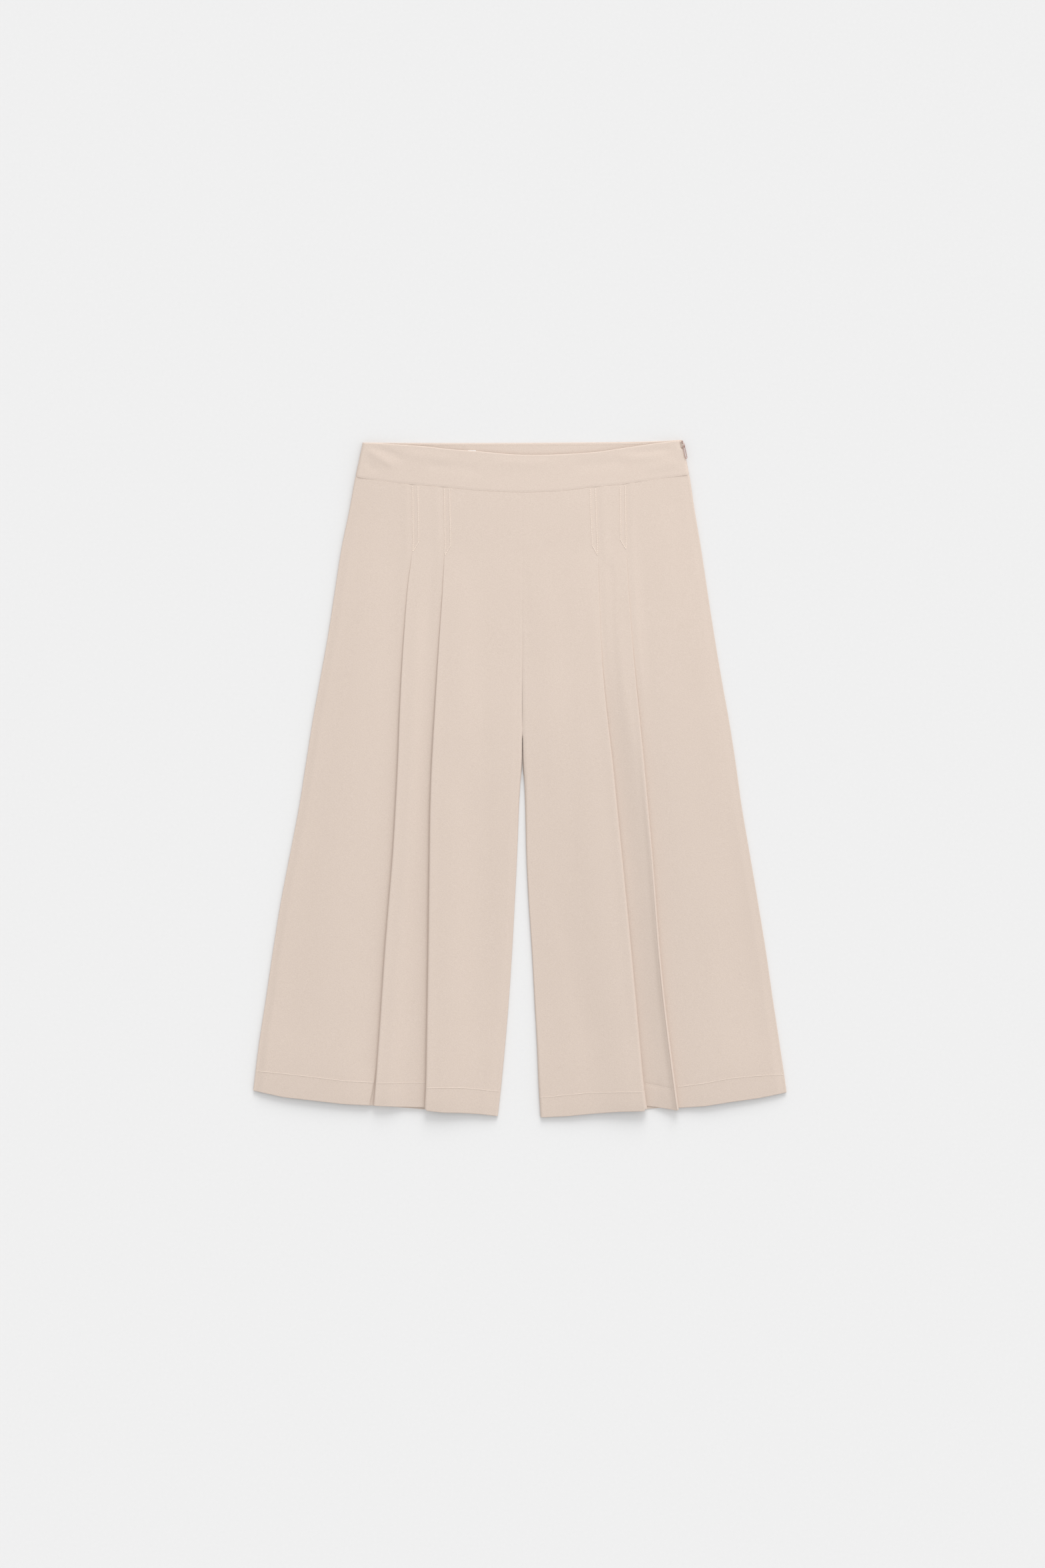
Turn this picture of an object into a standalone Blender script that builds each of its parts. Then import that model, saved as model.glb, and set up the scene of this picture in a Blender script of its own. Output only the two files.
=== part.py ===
"""Tailored bermuda shorts, laid out flat on their back, front up.

The waist points to +Y, the hems to -Y, and the front of the garment faces +Z. The origin is the
middle of the underside's box. Every cloth piece is one wall: a mid-surface made of stations down
the garment, each a section across it in X and Z, with a Solidify modifier for its thickness.
"""

import math

import bmesh
import bpy
import numpy as np
from mathutils import Matrix, Vector

# Driving sizes, in millimetres.
MM = 0.001
WALL = 1.2             # single cloth
HEM_WALL = 1.8         # cloth and its turned-up hem
BAND_WALL = 2.0        # waistband, cloth and its inner half
SEAM_GAP = 0.3         # between two pieces at a seam
WAIST_GAP = 0.6        # between a panel and its waistband, measured down the garment
EDGE_GAP = 0.65        # between the ends of front and back inside a rolled edge
LAYER_GAP = 0.4        # between the layers of a pleat
EDGE_RADIUS = 1.2      # mid-surface radius where a side seam or an inseam rolls over
BAND_EDGE_RADIUS = 1.55  # the same, on the waistband
PLEAT_DEPTH = 15.0     # how far a knife pleat folds back under itself
PLEAT_REST = 1.5       # how far the top layer lies level past the pleat's inner fold
PLEAT_DROP = 11.0      # width over which the cloth then comes down
HEM_DEPTH = 23.0
SEAM_Y = 306.0         # mean height of the waist seam
HEM_Y = -346.0         # mean height of the hems
CROTCH_TOP_Y = 190.0   # where the front seam starts to roll into the crotch
CROTCH_Y = 50.0        # where the legs part
CENTRE_DIP = 0.35      # how far the front dips beside its centre seam
BACK_HEM_TUCK = 1.0    # the back hem lies this far behind the front one

# The lines that run down each leg, from the side seam to the centre: x at each height y.
LEG_COLUMNS = ("y", "outer", "fold_1", "fold_2", "inner")
RIGHT_LEG = (
    (352, -165.3, -113.7, -80.5, 2.3),
    (316, -172.7, -113.5, -80.2, 2.3),
    (280, -179.3, -113.1, -79.8, 2.3),
    (244, -186.8, -112.8, -79.2, 2.3),
    (200, -193.7, -117.9, -81.1, 2.3),
    (150, -201.4, -121.8, -84.5, 2.3),
    (100, -210.4, -124.8, -87.7, 2.2),
    (60, -217.6, -126.6, -90.1, 2.1),
    (20, -223.9, -128.1, -92.4, 1.6),
    (-30, -231.8, -130.6, -94.3, -0.9),
    (-80, -241.4, -133.6, -95.0, -2.9),
    (-130, -251.0, -137.7, -95.7, -5.4),
    (-180, -259.0, -141.7, -96.3, -8.1),
    (-230, -266.4, -145.1, -97.1, -11.4),
    (-280, -274.1, -148.5, -98.0, -15.5),
    (-320, -279.0, -151.5, -98.7, -19.3),
    (-355, -283.2, -154.5, -100.1, -23.2),
)
LEFT_LEG = (
    (352, 171.2, 111.0, 79.5, 2.7),
    (316, 178.3, 111.2, 79.7, 2.7),
    (280, 183.7, 111.6, 80.7, 2.7),
    (244, 189.8, 112.0, 82.2, 2.7),
    (200, 196.4, 114.3, 83.3, 2.7),
    (150, 204.1, 117.7, 85.1, 2.8),
    (100, 212.5, 122.2, 88.4, 3.0),
    (60, 219.7, 126.2, 92.5, 3.4),
    (20, 226.0, 130.2, 97.3, 4.2),
    (-30, 233.0, 134.8, 102.3, 5.7),
    (-80, 241.5, 139.3, 107.3, 6.9),
    (-130, 250.0, 143.2, 112.3, 9.3),
    (-180, 258.1, 147.1, 117.1, 12.6),
    (-230, 265.3, 152.0, 121.8, 15.3),
    (-280, 272.9, 158.0, 126.3, 18.0),
    (-320, 278.8, 163.2, 130.1, 19.6),
    (-355, 283.1, 167.7, 134.9, 21.7),
)

# Height of each hem at the start, quarters and end of a section, counted from the side seam.
HEM_COLUMNS = (0.0, 0.25, 0.5, 0.75, 1.0)
RIGHT_HEM = {
    "outer": (-327.6, -334.3, -337.8, -341.5, -343.0),
    "middle": (-343.0, -343.7, -344.4, -344.8, -345.1),
    "inner": (-347.9, -350.2, -350.7, -351.9, -354.2),
}
LEFT_HEM = {
    "outer": (-329.6, -335.3, -339.1, -343.7, -345.5),
    "middle": (-348.6, -347.0, -345.8, -344.6, -343.7),
    "inner": (-348.6, -349.3, -351.4, -354.2, -355.6),
}

# Seams and edges that run across the garment: x, y.
FRONT_SEAM = (
    (-172.9, 316.4), (-143.5, 311.8), (-107.1, 308.0), (-81.9, 305.9), (-46.9, 302.4),
    (0.0, 300.3), (46.2, 302.0), (74.9, 305.5), (108.5, 308.7), (135.1, 312.9), (177.8, 318.5),
)
BACK_SEAM = ((-172.9, 316.4), (-80.0, 313.0), (0.0, 312.0), (80.0, 313.5), (177.8, 318.5))
FRONT_TOP = (
    (-165.2, 352.4), (-145.0, 351.6), (-126.0, 350.3), (-100.8, 348.6), (-73.5, 345.6),
    (-46.9, 343.6), (0.0, 339.8), (55.3, 340.9), (82.6, 343.0), (106.4, 346.5), (125.3, 349.3),
    (141.4, 351.6), (168.0, 354.8),
)
BACK_TOP = (
    (-165.2, 352.8), (-56.0, 352.3), (50.4, 352.8), (119.0, 353.6), (151.2, 354.6),
    (168.0, 355.6),
)

# The bare label inside the back waistband, of which a sliver shows.
LABEL_SIZE = (8.4, 18.0, 0.4)
LABEL_TOP = (-50.4, 345.2)

# The zip in the wearer's left side seam.
TAPE_WIDTH = 9.0
TAPE_WALL = 0.8
TAPE_INSET = 2.6        # from the side edge to the tape
TAPE_TOP_Y = 345.4
TAPE_END_Y = 165.0
SLIDER_BODY = (4.2, 7.6, 2.0)    # across, along the zip, thick
SLIDER_CLEARANCE = 0.3
HINGE_Y = 348.6         # height of the pull's hinge on the zip
HINGE_REACH = 3.25      # from the centre of the rolled edge out to the hinge
FACE_TILT = 35.0        # degrees by which the slider's face looks up from the floor
BRIDGE_LENGTH = 5.2
BRIDGE_WIDTH = 1.0
BRIDGE_WALL = 0.7
HINGE_CLEARANCE = 0.3
PULL_LENGTH = 14.0
PULL_WIDTH = 5.0
PULL_WIRE = 0.9         # diameter of the pull's wire

# Stations down a panel, from the waist seam (0) to the hem (1).
HEM_LINE = 1.0 - HEM_DEPTH / (SEAM_Y - HEM_Y)
STATIONS = (
    0.0, 0.03, 0.065, 0.1, 0.14, 0.19, 0.25, 0.31, 0.365, 0.4, 0.45, 0.51, 0.58,
    0.65, 0.72, 0.79, 0.86, 0.92, HEM_LINE - 0.008, HEM_LINE, 1.0,
)
BAND_STATIONS = (0.0, 0.25, 0.5, 0.75, 0.9, 1.0)

# Colour, roughness and metallic value of each kind of piece.
CREPE = ((0.73, 0.62, 0.52), 0.9, 0.0)
TAPE = ((0.72, 0.60, 0.50), 0.85, 0.0)
WHITE = ((0.93, 0.92, 0.90), 0.7, 0.0)
ENAMEL = ((0.62, 0.42, 0.36), 0.35, 0.6)


def smooth_line(rows, at):
    """The value at `at` of a smooth curve through (place, value) rows."""
    places = np.array([row[0] for row in rows], float)
    values = np.array([row[1] for row in rows], float)
    if places[0] > places[-1]:
        places, values = places[::-1], values[::-1]
    slopes = np.gradient(values, places)
    at = float(np.clip(at, places[0], places[-1]))
    cell = int(np.clip(np.searchsorted(places, at) - 1, 0, len(places) - 2))
    width = places[cell + 1] - places[cell]
    t = (at - places[cell]) / width
    return float(
        (1 + 2 * t) * (1 - t) ** 2 * values[cell]
        + t * (1 - t) ** 2 * width * slopes[cell]
        + t * t * (3 - 2 * t) * values[cell + 1]
        + t * t * (t - 1) * width * slopes[cell + 1]
    )


def leg_line(leg, column, y):
    place = LEG_COLUMNS.index(column)
    return smooth_line([(row[0], row[place]) for row in leg], y)


def hem_at(hem, section, fraction):
    return float(np.interp(fraction, HEM_COLUMNS, hem[section]))


def ease(t):
    t = min(max(t, 0.0), 1.0)
    return t * t * (3 - 2 * t)


def wall_at(v):
    """Thickness of a panel's wall at station v."""
    return HEM_WALL if v > HEM_LINE - 0.001 else WALL


def edge_radius_at(v):
    """The rolled edges are a little fuller beside the waistband and at the hem."""
    near_band = max(0.0, 1 - v / 0.12)
    near_hem = ease((v - 0.9) / 0.1)
    return EDGE_RADIUS + (BAND_EDGE_RADIUS - EDGE_RADIUS) * near_band ** 2 + 0.1 * near_hem


def height_on_panel(v, top_y, hem_y):
    """y of a point at station v, between its places on the waist seam and on the hem."""
    y = SEAM_Y + (HEM_Y - SEAM_Y) * v
    near_seam = max(0.0, 1 - v / 0.25) ** 2
    near_hem = max(0.0, (v - 0.7) / 0.3) ** 2
    return y + near_seam * (top_y - SEAM_Y) + near_hem * (hem_y - HEM_Y)


def arc(centre, radius, start, end, count):
    """Points (q, z) of an arc; angles in degrees, from the +q direction towards +z."""
    angles = np.radians(np.linspace(start, end, count))
    return [(centre[0] + radius * math.cos(a), centre[1] + radius * math.sin(a)) for a in angles]


def end_roll(q_end, z_start, wall, radius, turn, count, sign):
    """The last strip of a section, which turns by `turn` of a right angle, down (-1) or up (1)."""
    length = radius * math.pi / 2
    bend = max(turn, 0.02) / radius
    points = []
    for s in np.linspace(0, length, count):
        points.append((math.sin(bend * s) / bend, sign * (1 - math.cos(bend * s)) / bend))
    reach = points[-1][0] + wall / 2 * math.sin(bend * length)
    return [(q_end - reach + q, z_start + z) for q, z in points]


def crotch_turn(y):
    """0 where the two legs' panels meet in one flat seam, 1 where each rolls over its inseam."""
    return ease((CROTCH_TOP_Y - y) / (CROTCH_TOP_Y - CROTCH_Y))


def front_section(leg, hem, v):
    """Points (x, y, z) across a front panel at station v, from the side seam to the centre."""
    y_mid = height_on_panel(v, SEAM_Y, HEM_Y)
    lines = {name: leg_line(leg, name, y_mid) for name in LEG_COLUMNS[1:]}
    inward = 1 if lines["inner"] > lines["outer"] else -1
    q_1 = abs(lines["fold_1"] - lines["outer"])
    q_2 = abs(lines["fold_2"] - lines["outer"])
    q_3 = abs(lines["inner"] - lines["outer"])
    wall = wall_at(v)
    radius = edge_radius_at(v)
    pitch = wall + LAYER_GAP
    low = wall + LAYER_GAP + wall / 2
    top = low + 2 * pitch
    side = wall / 2 + EDGE_GAP + 2 * radius
    turn = crotch_turn(y_mid)
    centre = side - CENTRE_DIP * ease((SEAM_Y - y_mid) / 120) * (1 - turn)

    # Each entry is (q, z, section, fraction of that section).
    path = []
    for q, z in arc((wall / 2 + radius, side - radius), radius, 180, 90, 4):
        path.append((q, z, "outer", q / q_1))
    for fraction, share in ((0.25, 0.9), (0.5, 0.65), (0.75, 0.3), (0.93, 0.0)):
        path.append((q_1 * fraction, low + (side - low) * share, "outer", fraction))
    for q_fold, before, after, q_next, z_next in (
        (q_1, "outer", "middle", q_2, low),
        (q_2, "middle", "inner", q_3, centre),
    ):
        under = arc((q_fold + PLEAT_DEPTH - wall / 2 - pitch / 2, low + pitch / 2),
                    pitch / 2, -90, 90, 5)
        over = arc((q_fold + wall / 2 + pitch / 2, top - pitch / 2), pitch / 2, 270, 90, 5)
        path += [(q, z, before, 1.0) for q, z in under]
        path += [(q, z, after, 0.0) for q, z in over]
        span = q_next - q_fold
        q_drop = PLEAT_DEPTH + PLEAT_REST
        for step, share in ((0, 1.0), (0.33, 0.75), (0.67, 0.25), (1, 0.0)):
            q = q_drop + step * PLEAT_DROP
            path.append((q_fold + q, z_next + (top - z_next) * share, after, q / span))
    span = q_3 - q_2
    rolled = end_roll(q_3, centre, wall, radius, turn, 4, -1)
    q_last = rolled[0][0]
    q_first = path[-1][0]
    for fraction in (0.35, 0.7):
        q = q_first + (q_last - q_first) * fraction
        path.append((q, centre, "inner", (q - q_2) / span))
    path += [(q, z, "inner", 1.0) for q, z in rolled]

    points = []
    for q, z, section, fraction in path:
        hem_y = hem_at(hem, section, fraction)
        x = lines["outer"] + inward * q
        y = height_on_panel(v, smooth_line(FRONT_SEAM, x) - WAIST_GAP / 2, hem_y)
        points.append((x, y, z))
    return points


def follow_lines(leg, points_at, v):
    """A section whose points are moved across with the leg's lines at their own height."""
    y_mid = height_on_panel(v, SEAM_Y, HEM_Y)
    outer_mid = leg_line(leg, "outer", y_mid)
    inner_mid = leg_line(leg, "inner", y_mid)
    moved = []
    for x, y, z in points_at(v):
        share = (x - outer_mid) / (inner_mid - outer_mid)
        shift_outer = leg_line(leg, "outer", y) - outer_mid
        shift_inner = leg_line(leg, "inner", y) - inner_mid
        moved.append((x + (1 - share) * shift_outer + share * shift_inner, y, z))
    return moved


def back_section(leg, hem, v):
    """Points (x, y, z) on the underside of a back panel, from the side seam to the centre."""
    y_mid = height_on_panel(v, SEAM_Y, HEM_Y)
    outer = leg_line(leg, "outer", y_mid)
    inner = leg_line(leg, "inner", y_mid)
    inward = 1 if inner > outer else -1
    q_3 = abs(inner - outer)
    wall = wall_at(v)
    radius = edge_radius_at(v)
    middle = wall / 2
    path = arc((middle + radius, middle + radius), radius, 180, 270, 4)
    rolled = end_roll(q_3, middle, wall, radius, crotch_turn(y_mid), 4, 1)
    for fraction in (0.2, 0.4, 0.6, 0.8):
        path.append((path[3][0] + (rolled[0][0] - path[3][0]) * fraction, middle))
    path += rolled
    points = []
    for q, z in path:
        x = outer + inward * q
        share = q / q_3
        hem_y = np.interp(share, (0, 0.45, 1), (hem["outer"][0], hem["outer"][4], hem["inner"][4]))
        y = height_on_panel(v, smooth_line(BACK_SEAM, x) - WAIST_GAP / 2, hem_y + BACK_HEM_TUCK)
        points.append((x, y, z))
    return points


def band_section(f, seam, top, front):
    """Points across a waistband, f of the way from its seam to its top edge, left to right."""
    y_left = seam[0][1] + (top[0][1] - seam[0][1]) * f
    y_right = seam[-1][1] + (top[-1][1] - seam[-1][1]) * f
    x_left = leg_line(RIGHT_LEG, "outer", y_left)
    x_right = leg_line(LEFT_LEG, "outer", y_right)
    middle = BAND_WALL / 2
    high = middle + EDGE_GAP + 2 * BAND_EDGE_RADIUS
    flat = high if front else middle
    away = -1 if front else 1
    width = x_right - x_left
    rolled = end_roll(width, flat, BAND_WALL, BAND_EDGE_RADIUS, 1.0, 5, away)
    path = [(width - q, z) for q, z in reversed(rolled)]
    inside = path[-1][0]
    path += [(inside + (width - 2 * inside) * step / 14, flat) for step in range(1, 14)]
    path += rolled
    points = []
    for q, z in path:
        x = x_left + q
        low_y = smooth_line(seam, x) + WAIST_GAP / 2
        high_y = smooth_line(top, x)
        points.append((x, low_y + (high_y - low_y) * f, z))
    return points


def tape_section(y):
    """The zip's tape at height y: the four corners of its section."""
    edge = leg_line(LEFT_LEG, "outer", y)
    seam_y = FRONT_SEAM[-1][1]
    in_band = ease((y - (seam_y - 9.0)) / 8.0)
    z = (WALL + SEAM_GAP) + (BAND_WALL - WALL) * in_band
    right = edge - TAPE_INSET
    left = right - TAPE_WIDTH
    return [(left, y, z), (right, y, z), (right, y, z + TAPE_WALL), (left, y, z + TAPE_WALL)]


def material(name, look):
    colour, roughness, metallic = look
    made = bpy.data.materials.new(name)
    made.use_nodes = True
    shader = made.node_tree.nodes["Principled BSDF"]
    shader.inputs["Base Color"].default_value = (*colour, 1.0)
    shader.inputs["Roughness"].default_value = roughness
    shader.inputs["Metallic"].default_value = metallic
    return made


def add_object(name, bm, look, parent=None):
    """Turns a bmesh in millimetres into an object in metres."""
    bmesh.ops.scale(bm, vec=(MM, MM, MM), verts=bm.verts)
    mesh = bpy.data.meshes.new(name)
    bm.to_mesh(mesh)
    bm.free()
    mesh.shade_smooth()
    mesh.set_sharp_from_angle(angle=math.radians(40))
    mesh.materials.append(material(name + "_finish", look))
    made = bpy.data.objects.new(name, mesh)
    bpy.context.scene.collection.objects.link(made)
    made.parent = parent
    return made


def cloth(name, rows, walls, look):
    """One cloth piece: a grid of section rows, thickened evenly to both sides."""
    bm = bmesh.new()
    thickness = bm.verts.layers.deform.verify()
    thickest = max(walls)
    grid = []
    for row, wall in zip(rows, walls):
        line = [bm.verts.new(point) for point in row]
        for vert in line:
            vert[thickness][0] = wall / thickest
        grid.append(line)
    for upper, lower in zip(grid, grid[1:]):
        for i in range(len(upper) - 1):
            bm.faces.new((upper[i], lower[i], lower[i + 1], upper[i + 1]))
    bmesh.ops.recalc_face_normals(bm, faces=bm.faces)
    made = add_object(name, bm, look)
    made.vertex_groups.new(name="wall")
    solidify = made.modifiers.new("wall", "SOLIDIFY")
    solidify.thickness = thickest * MM
    solidify.offset = 0.0
    solidify.use_even_offset = True
    solidify.use_quality_normals = True
    solidify.vertex_group = "wall"
    return made


def tube(name, sections, look):
    """A closed body through rings of equal length, with flat ends."""
    bm = bmesh.new()
    rings = [[bm.verts.new(point) for point in section] for section in sections]
    for ring, following in zip(rings, rings[1:]):
        for i in range(len(ring)):
            j = (i + 1) % len(ring)
            bm.faces.new((ring[i], ring[j], following[j], following[i]))
    bm.faces.new(rings[0])
    bm.faces.new(rings[-1])
    bmesh.ops.recalc_face_normals(bm, faces=bm.faces)
    return add_object(name, bm, look)


def make_panels():
    walls = [wall_at(v) for v in STATIONS]
    for side, leg, hem in (("right", RIGHT_LEG, RIGHT_HEM), ("left", LEFT_LEG, LEFT_HEM)):
        front = [
            follow_lines(leg, lambda at: front_section(leg, hem, at), v) for v in STATIONS
        ]
        back = [
            follow_lines(leg, lambda at: back_section(leg, hem, at), v) for v in STATIONS
        ]
        cloth("front_panel_" + side, front, walls, CREPE)
        cloth("back_panel_" + side, back, walls, CREPE)


def make_waistband(seat_cutter):
    for name, seam, top, front in (
        ("waistband_front", FRONT_SEAM, FRONT_TOP, True),
        ("waistband_back", BACK_SEAM, BACK_TOP, False),
    ):
        rows = [band_section(f, seam, top, front) for f in BAND_STATIONS]
        band = cloth(name, rows, [BAND_WALL] * len(rows), CREPE)
        seat = band.modifiers.new("slider_seat", "BOOLEAN")
        seat.operation = "DIFFERENCE"
        seat.object = seat_cutter


def make_label():
    width, length, thick = LABEL_SIZE
    bm = bmesh.new()
    bmesh.ops.create_cube(bm, size=1)
    bmesh.ops.scale(bm, vec=(width, length, thick), verts=bm.verts)
    centre = (LABEL_TOP[0], LABEL_TOP[1] - length / 2, BAND_WALL + SEAM_GAP + thick / 2)
    bmesh.ops.translate(bm, vec=centre, verts=bm.verts)
    add_object("label", bm, WHITE)


def make_zip_tape():
    seam_y = FRONT_SEAM[-1][1]
    heights = [TAPE_TOP_Y, 330.0, seam_y - 1.0, seam_y - 5.0, seam_y - 9.0]
    heights += list(np.linspace(seam_y - 30.0, TAPE_END_Y, 6))
    tube("zip_tape", [tape_section(y) for y in heights], TAPE)


def slider_frame():
    """The hinge of the pull: x across the slider, y up the zip, z out of the slider's face."""
    upper = leg_line(LEFT_LEG, "outer", 350.0)
    lower = leg_line(LEFT_LEG, "outer", 332.0)
    up = Vector((upper - lower, 18.0, 0.0)).normalized()
    aside = Vector((up.y, -up.x, 0.0))
    tilt = math.radians(FACE_TILT)
    out = aside * math.cos(tilt) + Vector((0, 0, 1)) * math.sin(tilt)
    across = up.cross(out)
    edge = leg_line(LEFT_LEG, "outer", HINGE_Y)
    roll = BAND_WALL / 2 + BAND_EDGE_RADIUS
    middle = Vector((edge - roll, HINGE_Y, BAND_WALL / 2 + EDGE_GAP + BAND_EDGE_RADIUS))
    hinge = middle + out * HINGE_REACH
    frame = Matrix((across, up, out)).transposed().to_4x4()
    frame.translation = hinge * MM
    return frame


def box(bm, low, high):
    """Adds a box between two corners and gives its points."""
    made = bmesh.ops.create_cube(bm, size=1)["verts"]
    size = [high[i] - low[i] for i in range(3)]
    bmesh.ops.scale(bm, vec=size, verts=made)
    bmesh.ops.translate(bm, vec=[(high[i] + low[i]) / 2 for i in range(3)], verts=made)
    return made


def slider_levels():
    """Heights above the hinge axis: the slider's back, its face, the bridge's two sides."""
    bar = PULL_WIRE / 2
    face = -(bar + HINGE_CLEARANCE)
    under = bar + HINGE_CLEARANCE
    return face - SLIDER_BODY[2], face, under, under + BRIDGE_WALL


def slider_span():
    """The slider's lower and upper end along the zip, from the hinge axis."""
    lower = -(PULL_WIRE / 2 + HINGE_CLEARANCE + BRIDGE_WALL + 0.4)
    return lower, lower + SLIDER_BODY[1]


def make_slider(frame):
    back, face, under, crest = slider_levels()
    lower, upper = slider_span()
    half = SLIDER_BODY[0] / 2
    bm = bmesh.new()
    body = box(bm, (-half, lower, back), (half, upper, face))
    ends = [vert for vert in body if vert.co.y > upper - 0.01]
    bmesh.ops.scale(bm, vec=(0.7, 1, 1), verts=ends)
    slider = add_object("zip_slider", bm, ENAMEL)
    slider.matrix_world = frame

    # The bridge is an arch along the zip, with its lower leg just below the hinge.
    foot = lower + 0.4
    outline = (
        (foot, face - 0.5), (foot, under + 0.2), (foot + 0.5, crest),
        (foot + BRIDGE_LENGTH - 1.2, crest), (foot + BRIDGE_LENGTH, face - 0.5),
        (foot + BRIDGE_LENGTH - 1.0, face - 0.5), (foot + BRIDGE_LENGTH - 1.7, under),
        (foot + BRIDGE_WALL, under), (foot + BRIDGE_WALL, face - 0.5),
    )
    bm = bmesh.new()
    side = [bm.verts.new((-BRIDGE_WIDTH / 2, y, z)) for y, z in outline]
    drawn = bmesh.ops.extrude_face_region(bm, geom=[bm.faces.new(side)])
    moved = [item for item in drawn["geom"] if isinstance(item, bmesh.types.BMVert)]
    bmesh.ops.translate(bm, vec=(BRIDGE_WIDTH, 0, 0), verts=moved)
    bmesh.ops.recalc_face_normals(bm, faces=bm.faces)
    bridge = add_object("slider_bridge_shape", bm, ENAMEL)
    bridge.matrix_world = frame
    bridge.hide_render = True
    bridge.display_type = "WIRE"
    joined = slider.modifiers.new("bridge", "BOOLEAN")
    joined.operation = "UNION"
    joined.object = bridge


def make_seat_cutter(frame):
    """The room that the two waistbands leave for the slider at their corner."""
    back, _, _, crest = slider_levels()
    lower, upper = slider_span()
    half = SLIDER_BODY[0] / 2 + SLIDER_CLEARANCE
    bm = bmesh.new()
    box(bm, (-half - 4, lower - SLIDER_CLEARANCE, back - SLIDER_CLEARANCE),
        (half + 4, upper + 4, crest + 2))
    cutter = add_object("slider_seat_cutter", bm, ENAMEL)
    cutter.matrix_world = frame
    cutter.hide_render = True
    cutter.display_type = "WIRE"
    return cutter


def make_pull(frame):
    """A teardrop of wire whose narrow end is the hinge bar under the slider's bridge."""
    half_bar = BRIDGE_WIDTH / 2 + HINGE_CLEARANCE + PULL_WIRE / 2
    round_radius = (PULL_WIDTH - PULL_WIRE) / 2
    round_y = -(PULL_LENGTH - PULL_WIRE / 2 - round_radius)
    route = [(-half_bar, 0.0), (half_bar, 0.0), (half_bar + 0.15, -1.6)]
    for angle in np.radians(np.linspace(12, -192, 11)):
        route.append((round_radius * math.cos(angle), round_y + round_radius * math.sin(angle)))
    route.append((-half_bar - 0.15, -1.6))
    count = len(route)
    bm = bmesh.new()
    rings = []
    for i in range(count):
        here = Vector((*route[i], 0))
        before = (here - Vector((*route[i - 1], 0))).normalized()
        after = (Vector((*route[(i + 1) % count], 0)) - here).normalized()
        along = (before + after).normalized()
        aside = Vector((along.y, -along.x, 0)) / max(along.dot(after), 0.5)
        ring = []
        for angle in np.radians(np.arange(0, 360, 60)):
            offset = aside * math.cos(angle) + Vector((0, 0, 1)) * math.sin(angle)
            ring.append(bm.verts.new(here + offset * PULL_WIRE / 2))
        rings.append(ring)
    for i in range(count):
        ring, following = rings[i], rings[(i + 1) % count]
        for j in range(len(ring)):
            k = (j + 1) % len(ring)
            bm.faces.new((ring[j], ring[k], following[k], following[j]))
    bmesh.ops.recalc_face_normals(bm, faces=bm.faces)
    pull = add_object("zip_pull", bm, ENAMEL)
    pull.matrix_world = frame


def main():
    for old in list(bpy.data.objects):
        bpy.data.objects.remove(old, do_unlink=True)
    frame = slider_frame()
    make_panels()
    make_waistband(make_seat_cutter(frame))
    make_label()
    make_zip_tape()
    make_slider(frame)
    make_pull(frame)


main()
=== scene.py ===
"""Looks of the tailored bermuda shorts, laid flat on their back, front up.

Places are millimetres in the part's own frame: the waist to +Y, the hems to -Y, the front to +Z.
Each cloth piece is a grid of points on the middle of its wall, made of sections across the piece,
which closed_shell turns into a thin closed cloth with rounded ends.
"""

import math

import bmesh
import bpy
import numpy as np
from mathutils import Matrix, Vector
from mathutils.bvhtree import BVHTree


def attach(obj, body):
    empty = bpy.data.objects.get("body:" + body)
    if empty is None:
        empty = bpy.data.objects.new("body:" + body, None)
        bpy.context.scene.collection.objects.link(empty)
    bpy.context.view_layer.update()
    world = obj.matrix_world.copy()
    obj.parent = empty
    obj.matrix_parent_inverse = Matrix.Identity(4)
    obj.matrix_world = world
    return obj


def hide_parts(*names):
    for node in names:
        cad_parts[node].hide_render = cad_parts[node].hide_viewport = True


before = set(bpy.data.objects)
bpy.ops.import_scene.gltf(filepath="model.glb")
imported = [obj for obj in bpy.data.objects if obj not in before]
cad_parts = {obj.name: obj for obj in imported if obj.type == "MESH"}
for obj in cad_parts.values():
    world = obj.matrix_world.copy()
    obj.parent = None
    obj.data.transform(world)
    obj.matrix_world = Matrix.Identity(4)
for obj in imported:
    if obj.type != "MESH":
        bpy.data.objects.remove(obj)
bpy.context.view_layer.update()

MM = 0.001

# The photo's frame, in its own pixels, and its scale.
PHOTO_WIDTH = 1568
PHOTO_HEIGHT = 2352
MM_PER_PIXEL = 0.70
ORIGIN_PIXEL = (780, 1168)      # the pixel that shows the part's origin
LENS = 85.0
SENSOR = 36.0

# The construction's sizes, as in the part's source.
SEAM_Y = 306.0
HEM_Y = -346.0
HEM_DEPTH = 23.0
HEM_ROW_SHARE = 1.0 - HEM_DEPTH / (SEAM_Y - HEM_Y)
PLEAT_DEPTH = 15.0
LABEL_SIZE = (8.4, 18.0)
LABEL_TOP = (-50.4, 345.2)
TAPE_WIDTH = 9.0
TAPE_INSET = 2.6
TAPE_TOP_Y = 345.4
TAPE_END_Y = 165.0
BAND_WALL = 2.0
BAND_EDGE_RADIUS = 1.55
EDGE_GAP = 0.65
HINGE_Y = 348.6
HINGE_REACH = 3.25
FACE_TILT = 35.0
BRIDGE_WIDTH = 1.0
HINGE_CLEARANCE = 0.3
PULL_LENGTH = 14.0
PULL_WIDTH = 4.3
PULL_WIRE = 0.9
SLIDER_BODY = (4.2, 7.6, 2.0)

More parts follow.
